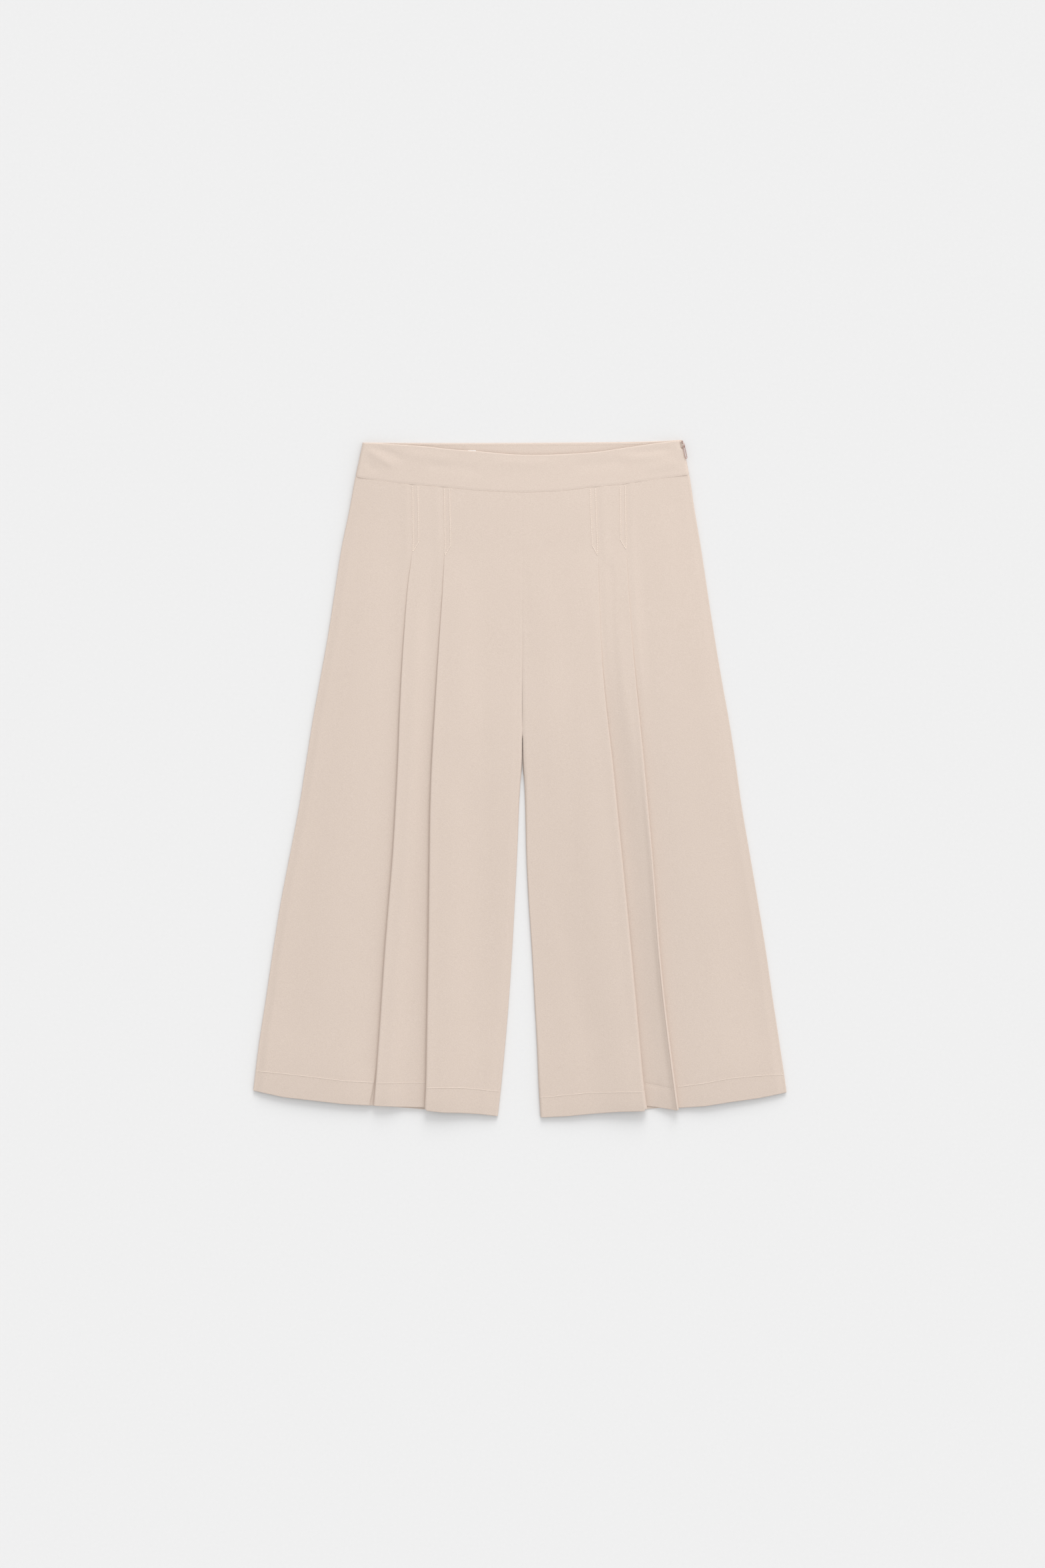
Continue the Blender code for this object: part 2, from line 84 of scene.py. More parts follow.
# The cloth as it shows.
FACE = 0.26            # from the middle of a single wall to its face
TURN_UP = 0.50         # what the turned-up hem adds on the inside
HEM_HALF = (2 * FACE + TURN_UP) / 2     # half the wall at the hem's edge
BAND_HALF = 0.9        # half the waistband's wall
BAND_SEAM_HALF = 0.25  # the same where it meets the panels
BAND_SEAM_RISE = 0.45  # how far its middle rises there, towards its face
SLIT = 0.10            # between two pieces where they meet
SEAM_LEVEL = 1.30      # height at which front and back meet
BAND_MEETING = 2.40    # the same for the waistbands
ALLOWANCE = 2.3        # seam allowance folded in at the side seams
BACK_HEM_TUCK = 1.0    # how much shorter a back is than its front

# The lines that run down each leg, from the side seam to the centre: x at each height y.
LEG_COLUMNS = ("y", "outer", "fold_1", "fold_2", "inner")
RIGHT_LEG = (
    (352, -165.3, -113.7, -80.5, 2.3),
    (316, -172.7, -113.5, -80.2, 2.3),
    (280, -179.3, -113.1, -79.8, 2.3),
    (244, -186.8, -112.8, -79.2, 2.3),
    (200, -193.7, -117.9, -81.1, 2.3),
    (150, -201.4, -121.8, -84.5, 2.3),
    (100, -210.4, -124.8, -87.7, 2.2),
    (60, -217.6, -126.6, -90.1, 2.1),
    (20, -223.9, -128.1, -92.4, 1.6),
    (-30, -231.8, -130.6, -94.3, -0.9),
    (-80, -241.4, -133.6, -95.0, -2.9),
    (-130, -251.0, -137.7, -95.7, -5.4),
    (-180, -259.0, -141.7, -96.3, -8.1),
    (-230, -266.4, -145.1, -97.1, -11.4),
    (-280, -274.1, -148.5, -98.0, -15.5),
    (-320, -279.0, -151.5, -98.7, -19.3),
    (-355, -283.2, -154.5, -100.1, -23.2),
)
LEFT_LEG = (
    (352, 171.2, 111.0, 79.5, 2.7),
    (316, 178.3, 111.2, 79.7, 2.7),
    (280, 183.7, 111.6, 80.7, 2.7),
    (244, 189.8, 112.0, 82.2, 2.7),
    (200, 196.4, 114.3, 83.3, 2.7),
    (150, 204.1, 117.7, 85.1, 2.8),
    (100, 212.5, 122.2, 88.4, 3.0),
    (60, 219.7, 126.2, 92.5, 3.4),
    (20, 226.0, 130.2, 97.3, 4.2),
    (-30, 233.0, 134.8, 102.3, 5.7),
    (-80, 241.5, 139.3, 107.3, 6.9),
    (-130, 250.0, 143.2, 112.3, 9.3),
    (-180, 258.1, 147.1, 117.1, 12.6),
    (-230, 265.3, 152.0, 121.8, 15.3),
    (-280, 272.9, 158.0, 126.3, 18.0),
    (-320, 278.8, 163.2, 130.1, 19.6),
    (-355, 283.1, 167.7, 134.9, 21.7),
)

# Height of each hem and of its row of stitching at the quarters of each section, counted from the
# side seam.
QUARTERS = (0.0, 0.25, 0.5, 0.75, 1.0)
SECTIONS = ("outer", "middle", "inner")
BACK_SHARES = (0, 0.45, 1)      # where a back's hem and row have the front's heights
RIGHT_HEM = {
    "outer": (-327.6, -334.3, -337.8, -341.5, -343.0),
    "middle": (-343.0, -343.7, -344.4, -344.8, -345.1),
    "inner": (-347.9, -350.2, -350.7, -351.9, -354.2),
}
LEFT_HEM = {
    "outer": (-329.6, -335.3, -339.1, -343.7, -345.5),
    "middle": (-348.6, -347.0, -345.8, -344.6, -343.7),
    "inner": (-348.6, -349.3, -351.4, -354.2, -355.6),
}
RIGHT_ROW = {
    "outer": (-306.3, -309.5, -313.0, -317.0, -318.8),
    "middle": (-319.2, -319.0, -318.8, -318.6, -318.5),
    "inner": (-324.1, -323.8, -324.1, -326.0, -328.4),
}
LEFT_ROW = {
    "outer": (-310.0, -311.6, -314.2, -319.6, -323.6),
    "middle": (-325.6, -324.5, -322.9, -321.2, -319.9),
    "inner": (-328.3, -328.5, -329.2, -331.8, -334.8),
}

# Seams and edges that run across the garment: x, y.
FRONT_SEAM = (
    (-172.9, 316.4), (-143.5, 311.8), (-107.1, 308.0), (-81.9, 305.9), (-46.9, 302.4),
    (0.0, 300.3), (46.2, 302.0), (74.9, 305.5), (108.5, 308.7), (135.1, 312.9), (177.8, 318.5),
)
BACK_SEAM = ((-172.9, 316.4), (-80.0, 313.0), (0.0, 312.0), (80.0, 313.5), (177.8, 318.5))
FRONT_TOP = (
    (-165.2, 352.4), (-145.0, 351.6), (-126.0, 350.3), (-100.8, 348.6), (-73.5, 345.6),
    (-46.9, 343.6), (0.0, 339.8), (55.3, 340.9), (82.6, 343.0), (106.4, 346.5), (125.3, 349.3),
    (141.4, 351.6), (168.0, 354.8),
)
BACK_TOP = (
    (-165.2, 352.8), (-56.0, 352.3), (50.4, 352.8), (119.0, 353.6), (151.2, 354.6),
    (168.0, 355.6),
)

# Heights of the front's middle surface down a leg: at the side edge, at the lowest layer beside a
# pleat, from there to the layer that folds back, from that to the top layer, and at the centre.
LEVEL_COLUMNS = ("y", "side", "low", "first", "second", "centre")
LEVELS = (
    (306, 4.60, 4.60, 0.29, 0.30, 5.20),
    (296, 4.30, 4.50, 0.29, 0.30, 5.10),
    (270, 3.50, 4.00, 0.29, 0.30, 4.60),
    (240, 2.90, 3.40, 0.29, 0.30, 4.00),
    (222, 2.70, 2.95, 0.60, 0.62, 3.80),
    (190, 2.50, 2.60, 0.85, 0.90, 3.50),
    (120, 2.40, 2.30, 1.20, 1.30, 3.30),
    (60, 2.40, 2.20, 1.40, 1.50, 4.10),
    (15, 2.40, 2.20, 1.40, 1.50, 4.20),
    (-40, 2.40, 2.20, 1.40, 1.50, 3.80),
    (-120, 2.40, 2.30, 1.40, 1.50, 3.40),
    (-200, 2.50, 2.70, 1.40, 1.50, 3.60),
    (-260, 2.80, 3.30, 1.40, 1.50, 4.30),
    (-300, 3.10, 3.80, 1.40, 1.60, 5.10),
    (-325, 3.10, 3.90, 1.40, 1.60, 5.20),
    (-340, 2.90, 3.70, 1.30, 1.50, 4.90),
    (-346, 2.70, 3.40, 1.20, 1.40, 4.60),
)

# How each leg lies, down the leg:
#   rise        how far the cloth climbs beside the side seam
#   crown       the arch of the outer section
#   lift        how far the cloth beside a fold stays up to it
#   sag         how much lower the middle section and the outer pleat's hidden layers lie
#   open        how far each pleat stands open (the outer one by OPEN_SHARE of it)
#   puff_       how much a fold's edge rises, or dips
#   start_, end_    where, past a fold, the top layer starts and ends its way down
#   press       the gap between the outer pleat's hidden layers, as a share
#   sink, sink_width    how far and how widely the cloth sinks at the inseam
LIE_COLUMNS = (
    "y", "rise", "crown", "lift", "sag", "open", "puff_1", "puff_2", "start_1", "end_1",
    "start_2", "end_2", "press", "sink", "sink_width",
)
RIGHT_LIE = (
    (306, 0.35, 0.4, 0.56, 0.0, 0.0, 0.0, 0.0, 18, 32, 12, 40, 1.0, 0.0, 6),
    (240, 0.70, 0.3, 0.56, 0.0, 0.0, 0.0, 0.0, 18, 33, 12, 44, 1.0, 0.0, 6),
    (230, 0.80, 0.3, 0.55, 0.0, 0.0, 0.0, 0.0, 17, 32, 12, 44, 1.0, 0.0, 6),
    (190, 1.10, 0.6, 0.60, 0.0, 0.0, 0.1, 0.1, 11, 29, 12, 50, 1.0, 0.1, 6),
    (120, 1.20, 1.0, 0.25, 0.0, 0.0, 0.2, 0.3, 12, 31, 12, 52, 1.0, 0.2, 7),
    (50, 1.30, 1.2, 0.0, 0.0, 0.5, 0.3, 0.4, 12, 31, 12, 52, 1.0, 0.3, 7),
    (-100, 1.50, 1.6, 0.0, 0.0, 1.3, 0.4, 0.5, 12, 32, 12, 54, 1.0, 0.6, 8),
    (-250, 1.70, 2.0, 0.0, 0.0, 1.6, 0.4, 0.5, 12, 34, 12, 56, 1.0, 0.8, 9),
    (-318, 1.90, 1.9, 0.0, 0.0, 1.5, 0.4, 0.5, 12, 34, 12, 60, 1.0, 1.2, 12),
    (-346, 1.60, 1.4, 0.0, 0.0, 1.3, 0.4, 0.5, 12, 34, 12, 60, 1.0, 1.1, 14),
)
LEFT_LIE = (
    (306, 0.30, 0.4, 0.56, 0.0, 0.0, 0.0, 0.0, 16, 30, 12, 40, 1.0, 0.0, 6),
    (240, 0.45, 0.3, 0.56, 0.0, 0.0, 0.0, -0.1, 16, 31, 12, 44, 1.0, 0.0, 6),
    (222, 0.45, 0.4, 0.95, 0.0, 0.0, 0.0, -0.1, 11, 26, 12, 46, 1.0, 0.1, 6),
    (200, 0.50, 0.5, 1.15, 0.0, 0.0, 0.1, -0.1, 12, 29, 14, 50, 1.0, 0.1, 8),
    (120, 0.50, 0.7, 1.10, 0.0, 0.0, 0.1, 0.0, 12, 31, 14, 70, 1.0, 0.1, 10),
    (70, 0.50, 0.8, 0.30, 0.0, 0.6, 0.4, 0.3, 9, 31, 14, 80, 0.9, 0.1, 10),
    (20, 0.50, 0.9, 0.0, 0.3, 1.2, 0.8, 0.5, 4, 30, 14, 84, 0.7, 0.2, 12),
    (-120, 0.60, 1.1, 0.0, 0.9, 1.5, 1.4, 0.5, -4, 27, 14, 80, 0.5, 0.5, 22),
    (-200, 0.60, 1.1, 0.0, 1.3, 1.6, 1.7, 0.5, -7, 27, 14, 70, 0.45, 0.9, 32),
    (-290, 0.95, 1.5, 0.0, 1.8, 1.6, 1.8, 0.3, -8, 30, 12, 59, 0.4, 1.3, 40),
    (-310, 1.10, 1.6, 0.0, 1.9, 1.6, 1.8, 0.3, -9, 33, 12, 60, 0.4, 1.4, 42),
    (-346, 0.90, 1.3, 0.0, 1.8, 1.5, 1.6, 0.3, -9, 33, 12, 60, 0.4, 1.1, 42),
)
OPEN_SHARE = 0.6        # how much of "open" the outer fold has
THIN_PLEAT = 0.5        # how much thinner the layers are pressed where the pleats are sewn
THIN_FROM = (224, 14)   # the height above which they are, and how far it takes
LAYER_PLACES = (3.0, 7.0, 11.0)         # a hidden layer's points, past the fold
RETURN_PLACES = (3.5, 7.0, 10.0)        # the same on its way back, from its turn
CROWN_AT = 0.7          # share of the outer section at which its crown is highest
PUFF_FADE = {"1": 3.2, "2": 6.0}        # how soon each fold's stand fades away from its edge

# How far a front's inner edge reaches past its line, and how far it turns down there, as a share
# of a right angle. A back's inner edge leaves the centre seam between BACK_CROTCH's two heights.
CLOSING = (
    (352, 0.38), (200, 0.36), (110, 0.33), (62, 0.52), (50, 0.74), (46, 0.68), (43, 0.46),
    (34, 0.38), (19, 0.34), (5, 0.16), (-8, 0.0), (-355, 0.0),
)
BACK_CROTCH = (20.0, -8.0)
CENTRE_SEAM_X = 2.5
INSEAM_TURN = (
    (352, 0.03), (190, 0.05), (110, 0.20), (50, 0.25), (14, 0.40), (-20, 0.9), (-355, 1.0),
)

# The lower end of the right leg's outer pleat stands open: a lip's height, and how far from the
# fold it ends.
LIP = ((-300, 0.0), (-316, 0.5), (-346, 1.6))
LIP_AWAY = ((-300, 1.0), (-316, 1.6), (-346, 5.0))

# Soft ridges over the fronts: from and to places, half width, height.
RIDGE_COLUMNS = ("from_x", "from_y", "to_x", "to_y", "half_width", "height")
FRONT_RIDGES = (
    (-62, 200, -60, 20, 14, 0.55),
    (-68, -10, -66, -280, 13, 0.55),
    (-38, 120, -34, -250, 10, -0.35),
    (26, 215, 30, 10, 14, 0.60),
    (52, 150, 58, -120, 10, -0.30),
    (78, 190, 84, 60, 7, 0.45),
    (70, -40, 86, -280, 18, 0.45),
    (-150, 250, -176, 60, 16, 0.50),
    (-176, 60, -214, -240, 20, 0.55),
    (-212, -20, -244, -290, 14, -0.40),
    (146, 296, 154, 190, 16, 0.45),
    (190, 170, 212, -60, 16, 0.45),
    (222, -30, 250, -290, 18, -0.45),
    (194, -100, 214, -310, 14, 0.40),
    (131, -320.0, 161, -325.8, 1.8, -0.55),
    (146, -318, 143, -352, 3.5, -0.80),
    (153, -330, 154, -352, 3.0, 0.50),
)
BACK_RIDGES = (
    (-120, 270, -150, 60, 16, 0.45),
    (-60, 240, -70, 0, 14, 0.40),
    (-190, 120, -226, -180, 14, 0.45),
    (-110, -20, -128, -290, 20, 0.45),
    (-44, -60, -56, -280, 12, 0.35),
    (66, 270, 74, 20, 15, 0.45),
    (132, 230, 160, 10, 14, 0.40),
    (186, 60, 216, -200, 16, 0.45),
    (110, -50, 122, -300, 20, 0.40),
    (48, -90, 58, -260, 12, 0.35),
)
BAND_RIDGES = (
    (-161, 345, -134, 328, 3.5, 0.55),
    (-150, 349, -122, 334, 4.0, -0.45),
    (-166, 336, -150, 322, 4.0, -0.35),
    (-120, 342, -72, 333, 6.0, 0.30),
    (-96, 330, -40, 322, 6.0, -0.30),
    (-30, 334, 34, 331, 8.0, 0.30),
    (60, 327, 112, 333, 6.0, -0.30),
    (118, 343, 158, 347, 5.0, -0.40),
    (104, 336, 150, 338, 5.0, 0.30),
    (134, 326, 166, 331, 5.0, 0.30),
)

# Rows of stitching.
STITCH = 1.45           # length of a stitch
STITCH_SPACE = 0.50     # between two stitches
THREAD = 0.36           # thread radius
THREAD_HEM = 0.28       # the same for the hem rows
THREAD_SUNK = 0.14      # the same where the hem's row lies in a crease, and on the backs
HEM_STITCH = (0.95, 0.60)       # length and space for the hem rows
PLEAT_ROW_TOP = 2.0     # from the waist seam to the first pleat stitch
PLEAT_ROWS = (0.75, 6.3)        # each row's place past the fold
RIGHT_PLEAT_ENDS = (238.0, 234.5)   # height at which the row along fold_1 and fold_2 ends
LEFT_PLEAT_ENDS = (240.8, 234.5)
PLEAT_CLOSE = 9.0       # how much higher the second row ends
PLEAT_CLOSE_GAP = (0, 0.9)      # from the second row's end to the slanting row
# How a stitch rises out of the cloth: share of its length, height in thread radii.
STITCH_RISE = ((0, -0.6), (0.18, 0.35), (0.5, 0.75), (0.82, 0.35), (1, -0.6))
STITCH_STEP = 0.6       # no stitch is made over a step in the cloth higher than this
HEM_ROW_ENDS = (1.3, 0.9)       # from a section's start and end to its row
UNDERSTITCH = {"length": 0.9, "space": 0.9, "radius": 0.20}
UNDERSTITCH_X = (-128, 134)
UNDERSTITCH_DROP = 2.3  # below the back waistband's top
# A tick of the waist seam: place across the seam, height off the cloth.
TICK = ((-0.70, -0.34), (-0.42, -0.17), (0.0, 0.0), (0.42, -0.17), (0.70, -0.34))
TICK_LEAN = 0.25        # how far along the seam a tick leans for each millimetre across
TICK_SPACE = 2.1
TICK_START = 3.0        # from each end of the seam
TICK_RADIUS = 0.28
FRONT_TICKS_X = (-170, 175)
BACK_TICKS_X = (-168, 173)
ROW_POINTS = 60         # places along a seam that its row follows
RAY_START = 50          # how far off the cloth the search for its surface starts

# Label, tape and coil.
LABEL_TUCK = 0.7        # from the label's place down to its top edge
LABEL_SHORT = 0.9       # how much shorter it is than its solid
LABEL_LEVEL = 2.05
LABEL_LIFT = 0.25       # how much its lower end stands off
LABEL_CURL = 0.10
LABEL_HALF = 0.15
TAPE_END_GAP = 0.3      # inside its solid, at both ends
TAPE_SIDE_GAP = 0.1
TAPE_LEVEL = 1.5        # what it lies on, over the back panel
TAPE_BAND_RISE = 0.8    # how much higher that is over the back waistband
TAPE_STEP = (9.0, 8.0)  # where the rise starts below the seam, and its length
TAPE_MIDDLE = 0.35
TAPE_WAVE = 0.05
TAPE_HALF = 0.28
COIL_PITCH = 1.1
COIL_END_GAP = 3
COIL_INSET = 0.9
COIL_RISE = 0.98
COIL_SIZE = (0.6, 0.22)         # half width and half height of a turn
COIL_THREAD = 0.13

# Slider and pull, in the slider's own axes: across, up the zip, out.
PLATE = 0.62
PLATE_TAPER = 0.7       # width of the slider's upper end, as a share
PLATE_SHORT = 0.6       # how much shorter its plates are than its body
PLATE_BEVEL = 0.24
CORE_INSET = (0.35, 0.3, 0.9)   # from the sides, from the plates and lower end, from the upper end
CORE_BEVEL = 0.15
LOWER_END = 1.1         # from the hinge's clearance down to the body's lower end
BRIDGE_SECTION = (0.5, 0.28)
RING_PLACE = (-0.9, 4.2, -0.2)
RING_SIZE = (1.10, 0.38)        # radius of the ring and of its wire
BAR_BEND = (0.3, -0.35)         # the pull's bar bends this far from its end, down to here
SHOULDER = (0.15, -1.6)         # and runs on to here, out from the bar's end
TEAR_ARC = (8, -188, 15)        # its round end: first and last degree, points

# Floor, light and surroundings, in metres.
FLOOR_HALF = 30.0
FLOOR_LEVEL = -0.00005
FLOOR_DARK = (0.795, 0.795, 0.795)
FLOOR_LIGHT = (0.805, 0.805, 0.805)
WORLD_LIGHT = 0.865
WORLD_SLANT = (0.26, 0.12, 0.0)   # how much brighter the surroundings are to the right and top
SUN_STRENGTH = 1.64
SUN_FROM = (0.11, 0.894, 0.43)    # towards the light: from the top of the photo, a little right
SUN_SPREAD = 32.0                 # degrees across
BACKDROP = 0.865
WAIST_LIGHT_PLACE = (0.14, 0.42, 0.50)
WAIST_LIGHT_SIZE = 0.30
WAIST_LIGHT_POWER = 0.31


def smooth_line(rows, at):
    """Values at `at` of a smooth curve through (place, value) rows."""
    places, values = np.array(rows, float).T
    if places[0] > places[-1]:
        places, values = places[::-1], values[::-1]
    slopes = np.gradient(values, places)
    at = np.clip(at, places[0], places[-1])
    cell = np.clip(np.searchsorted(places, at) - 1, 0, len(places) - 2)
    width = places[cell + 1] - places[cell]
    t = (at - places[cell]) / width
    return (
        (1 + 2 * t) * (1 - t) ** 2 * values[cell]
        + t * (1 - t) ** 2 * width * slopes[cell]
        + t * t * (3 - 2 * t) * values[cell + 1]
        + t * t * (t - 1) * width * slopes[cell + 1]
    )


def column(table, columns, name, y):
    place = columns.index(name)
    return smooth_line([(row[0], row[place]) for row in table], y)


def leg_line(leg, name, y):
    return column(leg, LEG_COLUMNS, name, y)


def ease(t):
    t = np.clip(t, 0.0, 1.0)
    return t * t * (3 - 2 * t)


def unit(a):
    return a / np.linalg.norm(a, axis=-1, keepdims=True)


def tangent(points, axis):
    """Unit direction along one axis of a grid: the mean of the two edges at each point."""
    steps = unit(np.diff(points, axis=axis))
    before = np.concatenate((np.take(steps, [0], axis=axis), steps), axis=axis)
    after = np.concatenate((steps, np.take(steps, [-1], axis=axis)), axis=axis)
    return unit(before + after)


def arc(centre, radii, start, end, count):
    """Points (q, z) of an elliptic arc; angles in degrees, from the +q direction towards +z."""
    angles = np.radians(np.linspace(start, end, count))
    return np.stack((centre[0] + radii[0] * np.cos(angles),
                     centre[1] + radii[1] * np.sin(angles)), axis=1)


def run(q, z):
    """Points (q, z) along a level or along given heights."""
    return np.stack((q, np.broadcast_to(z, np.shape(q))), axis=1)


def spaced(low, high, near_low, near_high, middle):
    """Places from low to high, closer near both ends: near_low and near_high are width, count."""
    width, count = near_low
    first = low + width * np.linspace(0, 1, count, endpoint=False) ** 1.4
    width_2, count_2 = near_high
    last = high - width_2 * np.linspace(0, 1, count_2, endpoint=False)[::-1] ** 1.4
    between = np.linspace(low + width, high - width_2, middle + 2)
    return np.concatenate((first, between[:-1], last))


def end_roll(q_end, z_start, face, radius, turn, count, sign):
    """The last strip of a section, which turns by `turn` of a right angle, down (-1) or up (1)."""
    length = radius * math.pi / 2
    bend = max(turn, 0.02) / radius
    s = np.linspace(0, length, count)
    q = np.sin(bend * s) / bend
    z = sign * (1 - np.cos(bend * s)) / bend
    reach = q[-1] + face * math.sin(bend * length)
    return run(q_end - reach + q, z_start + z)


def ridges_at(rows, x, y):
    """Height of a set of soft ridges and troughs at places x, y."""
    total = np.zeros(np.shape(x))
    for from_x, from_y, to_x, to_y, half_width, height in rows:
        along_x, along_y = to_x - from_x, to_y - from_y
        length = math.hypot(along_x, along_y)
        t = ((x - from_x) * along_x + (y - from_y) * along_y) / length ** 2
        aside = ((x - from_x) * along_y - (y - from_y) * along_x) / length
        ends = ease((t + 0.15) / 0.35) * ease((1.15 - t) / 0.35)
        total = total + height * ends * np.exp(-(aside / half_width) ** 2)
    return total


def panel_stations():
    """Stations down a panel, from the waist seam (0) to the hem (1), closer where it changes."""
    row_y = HEM_Y + HEM_DEPTH
    heights = np.concatenate((
        [SEAM_Y, SEAM_Y - 0.5, SEAM_Y - 1.2, SEAM_Y - 2.4],
        np.arange(SEAM_Y - 5, 250, -4.5),
        np.arange(250, 214, -2.4),
        np.arange(214, row_y + 6, -4.4),
        row_y + np.array([4.6, 3.4, 2.6, 2.0, 1.4, 0.9, 0.5, 0.25, 0, -0.25, -0.5, -1.0, -2.0]),
        np.arange(row_y - 4.5, HEM_Y + 3, -3.4),
        [HEM_Y + 1.8, HEM_Y + 0.9, HEM_Y + 0.3, HEM_Y],
    ))
    return (SEAM_Y - heights) / (SEAM_Y - HEM_Y)


def front_path(leg, lie, lip, y):
    """A front's section at height y, and its whole width.

    For each point: its place (q from the side edge inward, z), the section that it belongs to
    (0 outer, 1 middle, 2 inner, and in between on a pleat's returning layers), its share of the way
    across that section, 1 where the turned-up hem lies inside, and its wall as a share."""
    level = {name: float(column(LEVELS, LEVEL_COLUMNS, name, y)) for name in LEVEL_COLUMNS[1:]}
    look = {name: float(column(lie, LIE_COLUMNS, name, y)) for name in LIE_COLUMNS[1:]}
    at = {name: float(leg_line(leg, name, y)) for name in LEG_COLUMNS[1:]}
    q_1, q_2, q_3 = (abs(at[name] - at["outer"]) for name in ("fold_1", "fold_2", "inner"))
    q_3 += float(smooth_line(CLOSING, y))
    low = level["low"]
    thin = THIN_PLEAT * float(ease((y - THIN_FROM[0]) / THIN_FROM[1]))
    pieces = []

    def kept_up(q, fold):
        """How much the cloth just before a fold stays up to it."""
        return look["lift"] * ease((q - fold + 15) / 10) * (1 - ease((q - fold + 0.07) / 0.24))

    def add(points, kind, share, hem_in=1.0, wall=1.0):
        count = len(points)
        pieces.append((points, np.full(count, kind), np.broadcast_to(share, count),
                       np.full(count, hem_in), np.broadcast_to(wall, count)))

    # The side seam: its allowance folded in, and the cloth's turn over it.
    seam = SEAM_LEVEL + SLIT / 2 + FACE
    radius = (level["side"] - seam) / 2
    add(run(np.array([ALLOWANCE, FACE + radius + 0.3]), seam), 0, 0.0, 0.0)
    add(arc((FACE + radius, seam + radius), (radius, radius), 270, 90, 9), 0, 0.0, 0.0)

    # The outer section: up from the edge, over its crown and down under the first fold.
    start = FACE + radius + 0.5
    q = spaced(start, q_1, (10, 9), (9, 18), 15)
    t = (q - start) / (q_1 - start)
    z = level["side"] + look["rise"] * ease((q - start) / 9)
    z = z + (low - z) * ease((t - 0.35) / 0.65)
    crown = np.where(t < CROWN_AT, ease(t / CROWN_AT), ease((1 - t) / (1 - CROWN_AT)))
    z = z + look["crown"] * crown + kept_up(q, q_1)
    if lip:
        height = float(smooth_line(LIP, y))
        away = float(smooth_line(LIP_AWAY, y))
        z = z + height * ease((q - q_1 + 34) / 28) * (1 - ease((q - q_1 + away) / 1.1))
    add(run(q, z), 0, t, 1.0, 1 - thin * ease((q - q_1 + 6) / 5))

    low_2 = low - look["sag"]
    top_1 = low + level["first"] + level["second"] + look["open"] * OPEN_SHARE
    top_2 = low + level["first"] + level["second"] + look["open"]
    for kind, q_fold, q_next, number, under, top, z_next in (
        (0, q_1, q_2, "1", low, top_1, low_2),
        (1, q_2, q_3, "2", low_2, top_2, level["centre"]),
    ):
        puff = look["puff_" + number]
        gap, sunk = level["first"], 0.0
        if number == "1":
            gap, sunk = gap * look["press"], look["sag"]
        returning = under + gap
        first, second = gap / 2, (top - returning) / 2
        turn = q_fold + PLEAT_DEPTH - FACE - first
        edge = q_fold + FACE * (1 - thin) + second - 0.3 * thin
        wall = 1 - thin
        ahead = np.array(LAYER_PLACES)
        reach = LAYER_PLACES[-1]
        add(run(q_fold + ahead, under - sunk * ease(ahead / reach)), kind, 1.0, 1.0, wall)
        add(arc((turn, under - sunk + first), (first, first), -90, 90, 7), kind, 1.0, 1.0, wall)
        back = turn - np.array(RETURN_PLACES)
        level_back = returning - sunk * ease((back - q_fold) / reach)
        add(run(back, level_back), kind + 0.25, 1.0, 1.0, wall)
        over = second + puff / 2
        add(arc((edge, returning + over), (second, over), 270, 90, 10), kind + 0.6, 0.0, 1.0, wall)
        span = q_next - q_fold
        if number == "1":
            q = spaced(edge + 0.4, q_next, (8, 10), (9, 18), 10)
        else:
            rolled_turn = float(smooth_line(INSEAM_TURN, y))
            z_end = level["centre"] - look["sink"]
            roll = max(z_end - SEAM_LEVEL - SLIT / 2, 0.5)
            rolled = end_roll(q_3, z_end, FACE, roll, rolled_turn, 9, -1)
            q = spaced(edge + 0.4, rolled[0, 0] - 0.3, (8, 10), (9, 8), 24)
        u = q - q_fold
        begin, finish = look["start_" + number], look["end_" + number]
        z = z_next + (top - z_next) * (1 - ease((u - begin) / (finish - begin)))
        z = z + puff * np.exp(-((u - FACE - second) / PUFF_FADE[number]) ** 2)
        if number == "1":
            z = z + kept_up(q, q_next)
            wall = 1 - thin * np.maximum(ease((6 - u) / 5), ease((q - q_next + 6) / 5))
        else:
            width = look["sink_width"]
            z = z - look["sink"] * ease((q - rolled[0, 0] + width) / width)
            wall = 1 - thin * ease((6 - u) / 5)
        add(run(q, z), kind + 1, u / span, 1.0, wall)
    add(rolled, 2, 1.0, 0.0)
    points, kinds, shares, hems, walls = (np.concatenate(group) for group in zip(*pieces))
    return points, kinds, shares, hems, walls, q_3


def by_section(table, kinds, shares):
    """A hem's or a row's height: each section's own, and between two where the cloth folds."""
    lower = np.floor(kinds).astype(int)
    part = kinds - lower
    here = np.choose(lower, [np.interp(shares, QUARTERS, table[name]) for name in SECTIONS])
    end = np.array([table[name][-1] for name in SECTIONS])[lower]
    following = np.array([table[name][0] for name in SECTIONS])[np.minimum(lower + 1, 2)]
    return np.where(part > 0, end + (following - end) * part, here)


def across_back(table, share):
    """The height of a back's hem or row at a share of the way across it."""
    return np.interp(share, BACK_SHARES, (table["outer"][0], table["outer"][4], table["inner"][4]))


